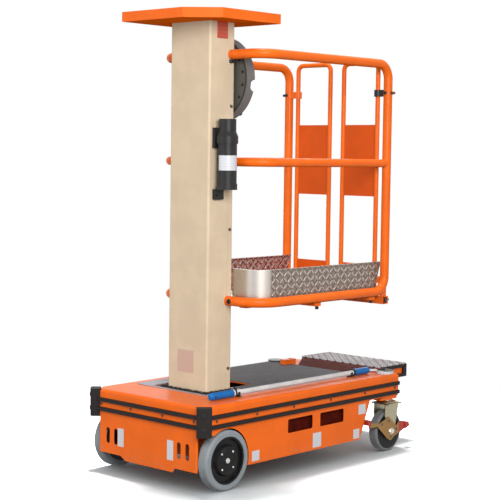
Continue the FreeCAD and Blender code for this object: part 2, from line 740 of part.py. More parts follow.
# Mast column
column = rounded_box(MAST_X0, mast_x1, -MAST_HALF, MAST_HALF, mast_z0, tray_z0, MAST_ROUND)
column = column.cut(box(MAST_X0 + MAST_WALL, mast_x1 - MAST_WALL, -MAST_HALF + MAST_WALL,
                        MAST_HALF - MAST_WALL, mast_z0, tray_z0 - MAST_WALL))
seam_x = mast_x1 - SEAM_BACK
for side in (-1, 1):
    column = column.cut(side_box(seam_x, seam_x + SEAM_W, side, MAST_HALF, MAST_HALF - SEAM_D,
                                 mast_z0, tray_z0))
boss = rod(BOSS_R, HW_AHEAD - SEAT, V(mast_x1, HW_Y, hw_z), X_AXIS)
save("mast_column", joined([column, boss]))

# Tray
tray_pts = [(tray_x0, -(TRAY_HALF - TRAY_CUT_Y)), (tray_x0 + TRAY_CUT_X, -TRAY_HALF),
            (tray_x1, -TRAY_HALF), (tray_x1, TRAY_HALF), (tray_x0, TRAY_HALF)]
tray = prism([(x, y, tray_z0) for x, y in tray_pts], Z_AXIS, TRAY_H)
mid_x = (tray_x0 + tray_x1) / 2
shrink_x = (tray_x1 - tray_x0 - 2 * TRAY_T) / (tray_x1 - tray_x0)
shrink_y = (TRAY_HALF - TRAY_T) / TRAY_HALF
tray = tray.cut(prism([(mid_x + (x - mid_x) * shrink_x, y * shrink_y, tray_z0 + TRAY_T)
                       for x, y in tray_pts], Z_AXIS, TRAY_H))
save("top_tray", tray)

# Guard rails: one bent loop a side, and the rail across it


def near_rails(extra):
    """The near loop and middle rail, as bars thicker by extra."""
    loop = bent_tube([(rail_root, -MAST_HALF, rail_top_z), (rail_root, -RAIL_Y, rail_top_z),
                      (post_x, -RAIL_Y, rail_top_z), (post_x, -RAIL_Y, rail_low_z),
                      (rail_low_root, -RAIL_Y, rail_low_z), (rail_low_root, -MAST_HALF, rail_low_z)],
                     [RAIL_BEND, CORNER_BEND, CORNER_BEND, RAIL_BEND_LOW], RAIL_D + extra)
    across = bent_tube([(rail_root, -MAST_HALF, rail_mid_z), (rail_root, -RAIL_Y, rail_mid_z),
                        (post_x, -RAIL_Y, rail_mid_z)], [RAIL_BEND], RAIL_MID_D + extra)
    return joined([loop, across])


near_rail = near_rails(0)
save("guard_rail_near", near_rail)
save("guard_rail_far", mirrored(near_rail))
rail_room = near_rails(2 * SEAT)
rail_room = rail_room.fuse(mirrored(rail_room))

# Platform floor inside the toe boards, and the frame under it
toe_in = TOE_T + SEAT
floor_x0 = toe_x0 + toe_in
floor_half = toe_y - toe_in
floor = box(floor_x0, floor_x1, -floor_half, floor_half, floor_z0, FLOOR_TOP)
mast_corners = [e for e in edges_along(floor, Z_AXIS) if e.Vertexes[0].X < floor_x0 + 1]
floor = floor.makeFillet(TOE_CURVE - toe_in, mast_corners)
tongue = MAST_HALF - TOE_ROOT - SEAT
floor = joined([floor, box(mast_x1, floor_x0 + PAST, -tongue, tongue, floor_z0, FLOOR_TOP)])
save("platform_floor", floor)
member_z0 = floor_z0 - MEMBER_H
end_x0 = floor_x1 + MOVE
end_x1 = end_x0 + END_W
end_z0 = FLOOR_TOP - END_DOWN
end_z1 = end_z0 + END_H
members = []
for side in (-1, 1):
    members.append(side_box(mast_x1, end_x0, side, LONG_Y, LONG_Y - MEMBER_W, floor_z0 - LONG_H, floor_z0))
feet_x = [post_x - back for back in FOOT_BACK]
for x in feet_x:
    members.append(box(x - MEMBER_W / 2, x + MEMBER_W / 2, -RAIL_Y, RAIL_Y, member_z0, floor_z0))
members.append(box(floor_x1 - MEMBER_W, end_x0, -LONG_Y, LONG_Y, member_z0, floor_z0))
end_tube = box(end_x0, end_x1, -END_HALF, END_HALF, end_z0, end_z1)
members.append(end_tube.cut(box(end_x0 + SHEET, end_x1 - SHEET, -END_HALF, END_HALF,
                                end_z0 + SHEET, end_z1 - SHEET)))
for side in (-1, 1):
    members.append(side_box(end_x0, end_x1, side, RAIL_Y - TAB_HALF, RAIL_Y + TAB_HALF, end_z1,
                            rail_low_z + RAIL_D / 2))
save("floor_frame", joined(members).cut(rail_room))

# Toe boards


def toe_board(t, z0, z1):
    """Near board of thickness t with its curve at the mast end."""
    pieces = []
    for inset in (0, t):
        y = -(toe_y - inset)
        x = toe_x0 + inset
        r = TOE_CURVE - inset
        turn = r * (1 - flat)
        pieces.append((V(x, TOE_ROOT - MAST_HALF, z0), V(x, y + r, z0), V(x + turn, y + turn, z0),
                       V(x + r, y, z0), V(toe_x1, y, z0)))
    (a0, a1, am, a2, a3), (b0, b1, bm, b2, b3) = pieces
    edges = [Part.makeLine(a0, a1), Part.Arc(a1, am, a2).toShape(), Part.makeLine(a2, a3),
             Part.makeLine(a3, b3), Part.makeLine(b3, b2), Part.Arc(b2, bm, b1).toShape(),
             Part.makeLine(b1, b0), Part.makeLine(b0, a0)]
    return Part.Face(Part.Wire(edges)).extrude(V(0, 0, z1 - z0))


board = joined([toe_board(TOE_T, floor_z0, toe_top), toe_board(TOE_LIP, toe_top - TOE_T, toe_top)])
(low_back, low_up), (high_back, high_up) = TOE_CUT
cut_x0 = post_x - low_back
cut_x1 = post_x - high_back
cut_z0 = FLOOR_TOP + low_up
cut_z1 = FLOOR_TOP + high_up
corner_cut = prism([(cut_x0, -far_out, cut_z0), (cut_x1, -far_out, cut_z1),
                    (toe_x1 + PAST, -far_out, cut_z1), (toe_x1 + PAST, -far_out, cut_z0)], Y_AXIS, far_out)
save("toe_boards", both(board.cut(corner_cut)))

# Feet under the platform
foot_z0 = FLOOR_TOP - FOOT_DOWN
feet = [rod(FOOT_R, member_z0 - foot_z0, V(x, -FOOT_Y, foot_z0), Z_AXIS) for x in feet_x]
save("platform_feet", Part.makeCompound([both(foot) for foot in feet]))

# Hand wheel and its grip
drum = rod(HW_R, HW_T, V(hw_x, HW_Y, hw_z), X_AXIS)
for i in range(NOTCH_COUNT):
    a = math.radians(-NOTCH_START + i * 360.0 / NOTCH_COUNT)
    centre = V(hw_x + HW_T - HW_FLANGE, HW_Y - HW_R * math.cos(a), hw_z + HW_R * math.sin(a))
    drum = drum.cut(rod(NOTCH_R, HW_FLANGE + PAST, centre, X_AXIS))
save("hand_wheel", drum)
save("hand_grip", rod(GRIP_R, GRIP_L, V(hw_x + HW_T, HW_Y, hw_z - GRIP_AT), X_AXIS))

# Document tube and the bracket it hangs in
doc_y = -(MAST_HALF + DOC_GAP + DOC_D / 2)


def doc_rod(diameter, z0, h):
    """Round upright piece on the tube's own axis."""
    return rod(diameter / 2, h, V(doc_x, doc_y, z0), Z_AXIS)


collar_z0 = doc_z0 + COLLAR_UP
shoulder_z0 = collar_z0 + COLLAR_H
cap_z0 = shoulder_z0 + SHOULDER_H
doc_z1 = doc_z0 + DOC_H
shoulder = Part.makeCone(COLLAR_D / 2, DOC_CAP_D / 2, SHOULDER_H, V(doc_x, doc_y, shoulder_z0), Z_AXIS)
save("document_tube", joined([doc_rod(DOC_D, doc_z0, COLLAR_UP), doc_rod(COLLAR_D, collar_z0, COLLAR_H),
                              shoulder, doc_rod(DOC_CAP_D, cap_z0, doc_z1 - cap_z0)]))
plates = []
for x0, x1, up0, up1 in (SPINE,) + EARS:
    plates.append(side_box(doc_x + x0, doc_x + x1, -1, MAST_HALF, MAST_HALF + SPINE_T,
                           doc_z0 + up0, doc_z0 + up1))
bracket = joined(plates + [doc_rod(DOC_D + 2 * SHEET, doc_z0, STRAP_H)])
bracket = bracket.cut(doc_rod(DOC_D + 2 * SEAT, doc_z0, COLLAR_UP))
bracket = bracket.cut(doc_rod(COLLAR_D + 2 * SEAT, collar_z0, doc_z1 - collar_z0))
hole_x, hole_up, hole_r = EAR_HOLE
hole = rod(hole_r, SPINE_T, V(doc_x + hole_x, -MAST_HALF - SPINE_T, doc_z0 + hole_up), Y_AXIS)
save("tube_bracket", bracket.cut(hole))

# Gates
gate_r = GATE_D / 2


def gate(side):
    """Bent tube and the two panels of one gate."""
    y_out = side * gate_leg
    y_in = side * GATE_IN
    top = gate_top - gate_r
    bottom = FLOOR_TOP + GATE_UP
    tube = bent_tube([(post_x, y_out, bottom), (post_x, y_out, top), (post_x, y_in, top),
                      (post_x, y_in, bottom)], [GATE_BEND, GATE_BEND], GATE_D)
    legs = [rod(gate_r + SEAT, gate_top - kick_z0, V(post_x, y, kick_z0), Z_AXIS) for y in (y_out, y_in)]
    panels = []
    for z0, h in ((FLOOR_TOP + PANEL_UP, PANEL_H), (kick_z0, KICK_H)):
        panel = side_box(post_x - PANEL_T / 2, post_x + PANEL_T / 2, side, gate_leg - PANEL_IN,
                         GATE_IN + PANEL_IN, z0, z0 + h)
        panels.append(panel.cut(legs[0]).cut(legs[1]))
    hinge_z = FLOOR_TOP + HINGE_UP[0]
    notch = side_box(post_x - PANEL_T, post_x + PANEL_T, side, gate_leg - NOTCH_IN, gate_leg,
                     hinge_z - NOTCH_UP, hinge_z + HINGE_H + NOTCH_UP)
    return tube, Part.makeCompound([panels[0], panels[1].cut(notch)])


for side, tag in ((-1, "near"), (1, "far")):
    tube, panels = gate(side)
    save("gate_frame_" + tag, tube)
    save("gate_panels_" + tag, panels)
hinges = []
for side in (-1, 1):
    for up in HINGE_UP:
        z = FLOOR_TOP + up
        leg = V(post_x, side * gate_leg, z)
        lug = side_box(post_x - LUG_HALF, post_x + LUG_HALF, side, RAIL_Y, gate_leg + gate_r, z, z + HINGE_H)
        lug = joined([lug, rod(gate_r + HINGE_WALL, HINGE_H, leg, Z_AXIS)])
        hinges.append(lug.cut(rod(gate_r + SEAT, HINGE_H, leg, Z_AXIS)).cut(rail_room))
save("gate_hinges", Part.makeCompound(hinges))
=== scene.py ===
import json
import math
import bpy
import numpy as np
from mathutils import Matrix, Vector


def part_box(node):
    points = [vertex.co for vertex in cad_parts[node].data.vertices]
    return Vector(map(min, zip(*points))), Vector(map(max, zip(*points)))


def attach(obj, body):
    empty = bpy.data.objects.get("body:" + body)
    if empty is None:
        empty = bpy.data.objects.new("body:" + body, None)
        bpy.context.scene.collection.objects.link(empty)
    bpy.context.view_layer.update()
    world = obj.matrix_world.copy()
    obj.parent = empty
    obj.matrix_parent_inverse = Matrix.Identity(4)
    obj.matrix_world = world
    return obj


# Vertical mast lift, stowed. Metres in the row frame, +X towards the step, -Y the near side.
# Places are worked out from the boxes of the modelled nodes; small sizes are in millimetres.

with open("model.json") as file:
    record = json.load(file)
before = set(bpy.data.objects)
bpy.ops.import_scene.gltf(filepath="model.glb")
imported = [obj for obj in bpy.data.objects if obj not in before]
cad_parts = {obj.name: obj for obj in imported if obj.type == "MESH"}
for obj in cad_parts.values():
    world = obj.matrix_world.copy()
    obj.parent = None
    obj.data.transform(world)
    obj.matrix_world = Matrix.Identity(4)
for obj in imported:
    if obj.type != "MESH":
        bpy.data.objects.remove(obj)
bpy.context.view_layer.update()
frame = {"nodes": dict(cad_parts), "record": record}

MM = 0.001
FLAT = math.sqrt(0.5)
NEAR, FAR = -1, 1
SIDES = ((NEAR, "near"), (FAR, "far"))

# Camera of the photo, measured from the mast-end wall of the deck
CAM_BACK, CAM_SIDE, CAM_UP = -3.987, -4.2526, 1.4054
CAM_AZ, CAM_PITCH, CAM_ROLL = 42.61, -3.99, 0.77
FOCAL_PX = 1380.33
PHOTO_PX = 500
SENSOR = 36.0

# Studio light. A lamp has a name, a place, the side of its square and its watts.
WHITE = (1.0, 1.0, 1.0)
AMBIENT = 0.42
LOOK_AT = (0.0, 0.0, 0.9)
SIDE_LAMPS = (("key", (-2.9, -4.0, 2.6), 2.6, 220), ("left_fill", (-4.2, 1.2, 2.2), 3.0, 45),
              ("back", (3.6, 2.6, 3.0), 2.6, 40))
TOP_LAMP = ("top", (0.1, 0.5, 7.0), 1.3, 200)
SHADOW_LAMP = ("shadow_light", (0.0, 0.75, 7.0), 0.8, 420)

# Floor: its shade as seen, what it throws back up, where it turns plain white, and its half side
FLOOR_GAIN = (1.44, 1.52, 1.54)
FLOOR_BOUNCE = (0.20, 0.20, 0.20)
FLOOR_FADE = (1.2, 2.4)
FLOOR_HALF = 30.0

# Start of the straight toe boards and place of the castor swivels, from the mast-end wall; height
# of the swivel race; top of the pole's head above the deck; line between round cap and socket block
TOE_RUN = 470 * MM
SWIVEL_X, SWIVEL_Z = 1268 * MM, 232 * MM
POLE_HEAD_TOP = 16 * MM
CAP_SPLIT = 240 * MM

# Raised pattern of the checker plate. A ring of a lozenge has its size and height as shares.
LOZENGE_PITCH = 26 * MM
LOZENGE_LEN = 30 * MM
LOZENGE_WIDE = 8 * MM
LOZENGE_H = 1.3 * MM
LOZENGE_RINGS = ((1.0, 0.0), (0.8, 0.75), (0.45, 1.0))
LOZENGE_SIDES = 14

# Points on a quarter circle of a plate's corner, and the angle from which an edge is sharp
CORNER_POINTS = 6
SHARP_FROM = math.radians(38)

# Blank labels in millimetres: centre across (end) or along (side), centre up, width, height
END_LABELS = ((163, 168, 37, 80), (-145, 161, 37, 84))
SIDE_LABELS = ((1046, 228, 52, 46), (722, 131, 58, 66), (1006, 118, 44, 44), (315, 121, 46, 44))
DATA_PLATE = (10, 496.5, 98, 100)
FILM = 0.4
LABEL_CORNER = 2

# Red plate on the mast side: centre along and up; width, height, thickness, corner and edge.
# Bracket at a rail root: the same five sizes.
SIDE_PLATE_AT = (313, 1938)
SIDE_PLATE = (66, 82, 2, 2, 0.6)
ROOT_BRACKET = (20, 14, 12, 3, 2)

# Label round the document tube: radius, foot and top in millimetres, first and last angle
TUBE_LABEL = (42, 1333, 1397, 165, 345)
TUBE_LABEL_POINTS = 40

# Places in millimetres: band screws across the end and along the side, mast screws along and then
# up, brake rivets along and up, rail roots along, across and up from the foot or down from the top
END_SCREWS = (290, 100, -97, -285)
SIDE_SCREWS = (74, 320, 560, 816, 1066, 1296)
MAST_SCREWS = (371.5, 1609, 1075, 465)
BRAKE_RIVETS = ((1188, 138), (1240, 148), (1258, 70), (1300, 103))
ROOT_PLUG_AT = (342.5, 150, 21)
ROOT_BRACKET_AT = (366, 120.5, 51)

# Screw heads in millimetres: radius, height
BAND_SCREW = (6.5, 3)
BUMPER_BOLT = (9.5, 4)
MAST_SCREW = (7.2, 5)
ROOT_PLUG = (10.5, 6)
FACE_DOT = (6.5, 2.4)
HUB_SCREW = (4.5, 2.2)
CLIP_SCREW = (6.5, 4)
MEMBER_NUT = (9.5, 10)

# Turned shapes in millimetres: radius, height and, where it isn't round, share of a hexagon
BRISTLE = ((4.2, 0), (3.6, 12), (0.8, 24))
HINGE_THREAD = ((8.5, 0), (8.5, 4), (6.5, 4), (6.5, 18), (4.5, 20))
HINGE_HEAD = ((8, 0), (8, 4), (5, 6))
GRIP_RIB = ((16.2, 0), (17.2, 1), (17.2, 3), (16.2, 4))
HUB_CAP = ((11, 0), (11, 2), (8, 3, 1), (8, 7, 1), (5, 8))
HUB_GROOVE = ((56, 0), (57.5, 0.8), (59, 0.2))
CASTOR_NUT = ((15.5, 0), (15.5, 2.5), (12.5, 2.5, 1), (12.5, 10, 1), (9.5, 11.5, 0.4))
CASTOR_RACE = ((47, 0), (49, 3), (45, 7), (34, 9.5))
RIVET = ((6, 0), (6, 1), (4, 3))
BEARING = ((24, 0), (24, 2), (19, 3.5))
POLE_RING = ((13, 0), (16.8, 1), (16.8, 6), (13, 7))
POLE_COLLAR = ((12.5, 0), (15.2, 1), (15.2, 9), (12.5, 10))
POLE_PLUG = ((15.5, 0), (15, 5), (11.5, 9), (6, 11))
POLE_HOLE = ((4.2, 0), (4.2, 0.6))
MEMBER_PIN = ((6, 0), (6, 16), (4.5, 18))

# Turns of heads about their own axes in radians, so that they don't all line up
SLIGHT, SMALL, SOME, MORE = 0.1, 0.2, 0.3, 0.4


def span(node):
    """Lowest and highest corner of a CAD node as two arrays."""
    a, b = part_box(node)
    return np.array(a), np.array(b)


# Shader nodes


class Shader:
    """One material, its nodes made and joined by short calls."""

    def __init__(self, name):
        self.material = bpy.data.materials.new(name)
        self.material.use_nodes = True
        self.tree = self.material.node_tree
        self.surface = self.tree.nodes["Principled BSDF"]
        self.place = self.add("ShaderNodeTexCoord").outputs["Object"]

    def add(self, kind, settings=None, **inputs):
        """A node with settings on itself and values or links on its inputs."""
        node = self.tree.nodes.new(kind)
        for key, value in (settings or {}).items():
            setattr(node, key, value)
        for key, value in inputs.items():
            self.put(node, key.replace("_", " "), value)
        return node

    def put(self, node, key, value):
        """One input: a link if value is a socket, else its number or colour."""
        socket = node.inputs[int(key)] if key.isdigit() else node.inputs[key]
        if isinstance(value, bpy.types.NodeSocket):
            self.tree.links.new(value, socket)
        elif isinstance(value, (tuple, list)) and len(value) == 3 and socket.type == "RGBA":
            socket.default_value = (*value, 1)
        else:
            socket.default_value = value

    def math(self, operation, a, b=0.0):
        """Result of a math node."""
        node = self.add("ShaderNodeMath", {"operation": operation})
        self.put(node, "0", a)
        self.put(node, "1", b)
        return node.outputs[0]

    def noise(self, scale, detail=2.0):
        """Noise over the object's own coordinates."""
        return self.add("ShaderNodeTexNoise", Vector=self.place, Scale=scale, Detail=detail).outputs[0]

    def axis(self, index):
        """X, Y or Z of the object's own coordinates, in metres."""
        return self.add("ShaderNodeSeparateXYZ", Vector=self.place).outputs[index]

    def facing(self, index):
        """X, Y or Z of the surface normal."""
        normal = self.add("ShaderNodeNewGeometry").outputs["Normal"]
        return self.add("ShaderNodeSeparateXYZ", Vector=normal).outputs[index]

    def between(self, value, start, end):
        """0 below start, 1 above end, smooth between."""
        ramp = self.add("ShaderNodeMapRange", {"interpolation_type": "SMOOTHSTEP"})
        for key, number in (("Value", value), ("From Min", start), ("From Max", end)):
            self.put(ramp, key, number)
        return ramp.outputs[0]

    def mix(self, factor, a, b):
        """Colour a where factor is 0 and b where it is 1."""
        node = self.add("ShaderNodeMix", {"data_type": "RGBA"})
        self.put(node, "0", factor)
        self.put(node, "6", a)
        self.put(node, "7", b)
        return node.outputs[2]

    def bump(self, height, distance):
        """Puts a bump of that height in metres on the surface."""
        node = self.add("ShaderNodeBump", Height=height, Distance=distance, Strength=1.0)
        self.put(self.surface, "Normal", node.outputs[0])

    def spread(self, value, low, high):
        """A value from 0 to 1 taken to the range from low to high."""
        node = self.add("ShaderNodeMapRange", Value=value)
        self.put(node, "To Min", low)
        self.put(node, "To Max", high)
        return node.outputs[0]

    def vector(self, operation, a, b=None):
        """Node of a vector operation."""
        node = self.add("ShaderNodeVectorMath", {"operation": operation})
        self.put(node, "0", a)
        if b is not None:
            self.put(node, "1", b)
        return node

    def blend(self, factor, a, b):
        """Shader a where factor is 0 and b where it is 1."""
        node = self.add("ShaderNodeMixShader")
        for key, value in (("0", factor), ("1", a), ("2", b)):
            self.put(node, key, value)
        return node.outputs[0]

    def finish(self, colour, roughness, metallic=0.0, coat=0.0, coat_roughness=0.1, specular=0.5):
        """Sets the main inputs of the surface."""
        for key, value in (("Base Color", colour), ("Roughness", roughness), ("Metallic", metallic),
                           ("Coat Weight", coat), ("Coat Roughness", coat_roughness),
                           ("Specular IOR Level", specular)):
            self.put(self.surface, key, value)
        return self.material


def worn(shader, colour, spread=0.06, scale=9.0):
    """The colour, a little darker and lighter in soft patches."""
    dark = tuple(c * (1 - spread) for c in colour)
    light = tuple(min(1, c * (1 + spread)) for c in colour)
    patches = shader.between(shader.noise(scale, 4.0), 0.35, 0.65)
    return shader.mix(patches, dark, light)


def paint(name, colour, roughness, coat, specular):
    """Sprayed paint with orange peel and dust low down. It has no gloss underneath, and it throws
    greyer light on other things than it shows."""
    s = Shader(name)
    low_down = s.between(s.axis(2), 0.16, 0.07)
    dust = s.math("MULTIPLY", s.between(s.noise(60.0, 5.0), 0.45, 0.75), low_down)
    tone = s.mix(s.math("MULTIPLY", dust, 0.25), worn(s, colour, 0.04), DUST)
    thrown = s.math("MULTIPLY", s.add("ShaderNodeLightPath").outputs["Is Diffuse Ray"], 0.65)
    tone = s.mix(thrown, tone, (sum(colour) / 3,) * 3)
    s.bump(s.noise(420.0, 1.0), 0.08 * MM)
    rough = s.spread(s.noise(25.0, 3.0), roughness * 0.85, roughness * 1.2)
    upright = s.between(s.facing(2), -0.9, -0.5)
    return s.finish(tone, rough, coat=s.math("MULTIPLY", upright, coat), coat_roughness=0.12,
                    specular=s.math("MULTIPLY", upright, specular))


def metal(name, colour, roughness, streak):
    """Metal with a fine grain, drawn out along the axis with the small number."""
    s = Shader(name)
    stretch = s.add("ShaderNodeMapping", Vector=s.place)
    stretch.inputs["Scale"].default_value = streak
    lines = s.add("ShaderNodeTexNoise", Vector=stretch.outputs[0], Scale=1.0, Detail=2.0).outputs[0]
    tone = s.mix(s.between(lines, 0.3, 0.7), tuple(c * 0.9 for c in colour), colour)
    s.bump(lines, 0.03 * MM)
    rough = s.spread(s.noise(18.0, 3.0), roughness * 0.8, roughness * 1.25)
    return s.finish(tone, rough, metallic=1.0)


def plastic(name, colour, roughness, specular=0.5, grain=260.0, depth=0.06 * MM):
    """Moulded plastic or rubber with a fine grain."""
    s = Shader(name)
    s.bump(s.noise(grain, 3.0), depth)
    return s.finish(worn(s, colour, 0.08, 14.0), roughness, specular=specular)


def sticker(name, colour, mark, rows):
    """Blank label: a plain ground with faint empty lines."""
    s = Shader(name)
    bands = s.math("PINGPONG", s.math("MULTIPLY", s.axis(2), rows), 0.5)
    line = s.math("MULTIPLY", s.between(bands, 0.3, 0.36), 0.22)
    return s.finish(s.mix(line, colour, mark), 0.4, coat=0.3)


def tyre_material(name, colour, scuffed):
    """Solid tyre with a scuffed tread."""
    s = Shader(name)
    tread = s.between(s.math("ABSOLUTE", s.facing(1)), 0.5, 0.1)
    scuff = s.math("MULTIPLY", s.between(s.noise(55.0, 5.0), 0.4, 0.7), tread)
    s.bump(s.noise(180.0, 4.0), 0.2 * MM)
    return s.finish(s.mix(s.math("MULTIPLY", scuff, 0.4), worn(s, colour, 0.05, 20.0), scuffed), 0.7)


def worn_mix(s, where, a, b):
    """Mix of two worn colours."""
    return s.mix(where, worn(s, a, 0.06, 18.0), worn(s, b, 0.06, 18.0))


ORANGE = (0.92, 0.150, 0.007)
# Gate panels: the orange paint drawn darker, as painted shade
PANEL_SHADED_ORANGE = (0.74, 0.098, 0.010)
CREAM = (0.70, 0.55, 0.385)
BLACK = (0.018, 0.017, 0.016)
ZINC = (0.42, 0.385, 0.27)
SILVER = (0.50, 0.46, 0.42)
# Dark red-brown of the step apron: painted reflection of the orange deck in shade
APRON_REFLECTED_SHADE = (0.12, 0.035, 0.028)
PEDAL_RED = (0.42, 0.03, 0.015)
DUST = (0.35, 0.27, 0.2)

# Grain of metals along X, Y and Z
DRAWN = (4.0, 400.0, 400.0)
CAST = (60.0, 60.0, 60.0)
FINE = (50.0, 50.0, 50.0)

MATERIALS = {
    "orange_paint": paint("orange_paint", ORANGE, 0.38, coat=0.08, specular=0.16),
    "cream_paint": paint("cream_paint", CREAM, 0.45, coat=0.05, specular=0.25),
    "aluminium": metal("aluminium", SILVER, 0.40, DRAWN),
    "zinc": metal("zinc", ZINC, 0.38, CAST),
    "yellow_zinc": metal("yellow_zinc", (0.42, 0.28, 0.10), 0.42, CAST),
    "black_rubber": plastic("black_rubber", (0.017, 0.014, 0.013), 0.6, specular=0.17),
    "grey_tyre": tyre_material("grey_tyre", (0.26, 0.285, 0.30), (0.2, 0.19, 0.18)),
    "black_plastic": plastic("black_plastic", (0.020, 0.020, 0.020), 0.38, specular=0.22),
    "grey_plastic": plastic("grey_plastic", (0.16, 0.155, 0.14), 0.5),
    "white_plastic": plastic("white_plastic", (0.70, 0.68, 0.67), 0.35),
    "blue_plastic": plastic("blue_plastic", (0.004, 0.135, 0.42), 0.35, specular=0.25),
    "grey_mat": plastic("grey_mat", (0.10, 0.095, 0.10), 0.75, specular=0.4, grain=520.0, depth=0.6 * MM),
}


def lattice(s, u, v, pitch, width):
    """1 on the thin lines of a diagonal lattice over two coordinates, 0 between them. The lines are
    painted shade between raised lozenges.
    """
    total = 0.0
    for way in ("ADD", "SUBTRACT"):
        turn = s.math(way, u, v)
        wave = s.math("PINGPONG", s.math("DIVIDE", turn, pitch * 2 * FLAT), 0.5)
        total = s.math("MAXIMUM", total, s.between(wave, width, width * 0.6))
    return total


def hand_wheel_material():
    """Drum of the hand wheel: dark faces and a lighter rim."""
    s = Shader("hand_wheel_drum")
    side = s.between(s.math("ABSOLUTE", s.facing(0)), 0.4, 0.6)
    s.bump(s.noise(240.0, 3.0), 0.1 * MM)
    return s.finish(worn_mix(s, side, (0.15, 0.135, 0.13), (0.082, 0.078, 0.066)), 0.55)


def rim_material():
    """Wheel centre: black with duller patches."""
    s = Shader("wheel_centre")
    s.bump(s.noise(240.0, 3.0), 0.1 * MM)
    patches = s.between(s.noise(30.0, 4.0), 0.5, 0.7)
    colour = worn_mix(s, patches, (0.009, 0.009, 0.009), (0.020, 0.019, 0.017))
    return s.finish(colour, 0.42, specular=0.14)


def pole_material(end, top):
    """Pole: white tube with a dark top on its head, which ends at end and is as high as top."""
    s = Shader("pole_and_head")
    head = s.between(s.axis(0), end - 0.079, end - 0.0785)
    dark = s.math("MULTIPLY", head, s.between(s.axis(2), top - 0.0022, top - 0.0018))
    s.bump(s.noise(300.0, 2.0), 0.04 * MM)
    return s.finish(worn_mix(s, dark, (0.66, 0.65, 0.64), (0.030, 0.028, 0.027)), 0.5, specular=0.12)


def brake_material(end):
    """Brake plate in yellow zinc with its two pedals in red paint. It ends at end."""
    s = Shader("brake_plate")
    pedal = s.between(s.axis(0), end - 0.0798, end - 0.0796)
    plate = s.between(s.axis(0), end - 0.3005, end - 0.3000)
    red = s.math("ADD", pedal, s.math("SUBTRACT", 1.0, plate))
    s.bump(s.noise(200.0, 3.0), 0.08 * MM)
    colour = worn_mix(s, red, (0.32, 0.18, 0.06), PEDAL_RED)
    return s.finish(colour, 0.42, metallic=s.math("SUBTRACT", 0.85, s.math("MULTIPLY", red, 0.85)))


def apron_reflection_material():
    """Step apron: dull plate whose dark red-brown is a painted reflection of the orange deck in shade."""
    s = Shader("apron_painted_reflection")
    s.bump(s.noise(120.0, 2.0), 0.1 * MM)
    return s.finish(worn(s, APRON_REFLECTED_SHADE, 0.15, 30.0), 0.7, specular=0.04)


def tread_material():
    """Step plate: pale, with a thin dark lattice of painted shade between its raised lozenges, as they
    look from the side.
    """
    s = Shader("step_plate_painted_shade")
    # Dark lattice lines: painted shade between the lozenges
    lines = lattice(s, s.axis(0), s.axis(1), 0.034, 0.13)
    s.bump(s.noise(120.0, 2.0), 0.1 * MM)
    return s.finish(worn_mix(s, lines, (0.42, 0.37, 0.38), (0.035, 0.03, 0.03)), 0.45, specular=0.3)


def toe_material(start):
    """Toe boards: bright smooth bend, duller patterned run with a lattice of painted shade, and pinkish
    red inside the far one as a painted reflection of the orange paint.
    """
    s = Shader("toe_board")
    run = s.between(s.axis(0), start - 0.012, start + 0.004)
    # Inner face of the far board, which gets the painted reflection
    inside = s.math("MULTIPLY", s.between(s.axis(1), 0.2, 0.21), s.between(s.facing(1), -0.3, -0.7))
    # Dark lattice lines: painted shade between the lozenges
    lines = lattice(s, s.axis(0), s.axis(2), 0.026, 0.15)
    near = s.mix(lines, (0.27, 0.215, 0.175), (0.17, 0.13, 0.105))
    # Far inner face: pinkish red painted reflection of the orange paint, with its lattice of painted shade
    far = s.mix(lines, (0.50, 0.20, 0.17), (0.10, 0.035, 0.03))
    flat = s.mix(inside, near, far)
    rough = s.math("SUBTRACT", 0.5, s.math("MULTIPLY", s.between(s.facing(1), -0.95, -0.6), 0.1))
    metallic = s.math("SUBTRACT", 1.0, s.math("MULTIPLY", run, 0.75))
    return s.finish(s.mix(run, SILVER, flat), rough, metallic=metallic, specular=0.3)


def hinge_material():
    """Gate hinges: orange lugs, the upper near one black."""
    s = Shader("gate_hinges")
    upper = s.between(s.axis(2), 1.5, 1.51)
    near = s.between(s.axis(1), 0.01, -0.01)
    return s.finish(worn_mix(s, s.math("MULTIPLY", upper, near), ORANGE, BLACK), 0.4, specular=0.3)


def fittings_material(split):
    """Round cap in grey plastic beside the painted socket block."""
    s = Shader("deck_fittings")
    cap = s.between(s.axis(1), split - 0.0005, split + 0.0005)
    s.bump(s.noise(260.0, 2.0), 0.06 * MM)
    return s.finish(worn_mix(s, cap, ORANGE, (0.055, 0.055, 0.055)), 0.4, coat=0.3)


def ballast_shade_material():
    """Closed box behind the side windows: its orange paint drawn dark red and dull, as painted shade
    inside the chassis.
    """
    s = Shader("inner_box_painted_shade")
    s.bump(s.noise(300.0, 2.0), 0.1 * MM)
    return s.finish(worn(s, (0.075, 0.007, 0.004), 0.2, 30.0), 0.7, specular=0.02)


def castor_wheel_material(centre):
    """Castor wheel: light grey tread, black disc inside it."""
    s = Shader("castor_wheel")
    from_centre = s.vector("SUBTRACT", s.place, tuple(centre))
    across = s.vector("MULTIPLY", from_centre.outputs[0], (1, 0, 1))
    ring = s.between(s.vector("LENGTH", across.outputs[0]).outputs["Value"], 0.0855, 0.0862)
    s.bump(s.noise(200.0, 3.0), 0.1 * MM)
    return s.finish(worn_mix(s, ring, (0.010, 0.010, 0.010), (0.20, 0.20, 0.205)), 0.55, specular=0.2)


# Surfaces


def hexed(angle, hexness):
    """Radius factor that turns a circle into a hexagon as hexness goes from 0 to 1."""
    sixth = math.pi / 3
    inner = math.cos(sixth / 2) / np.cos(np.mod(angle, sixth) - sixth / 2)
    return 1 + hexness * (inner - 1)


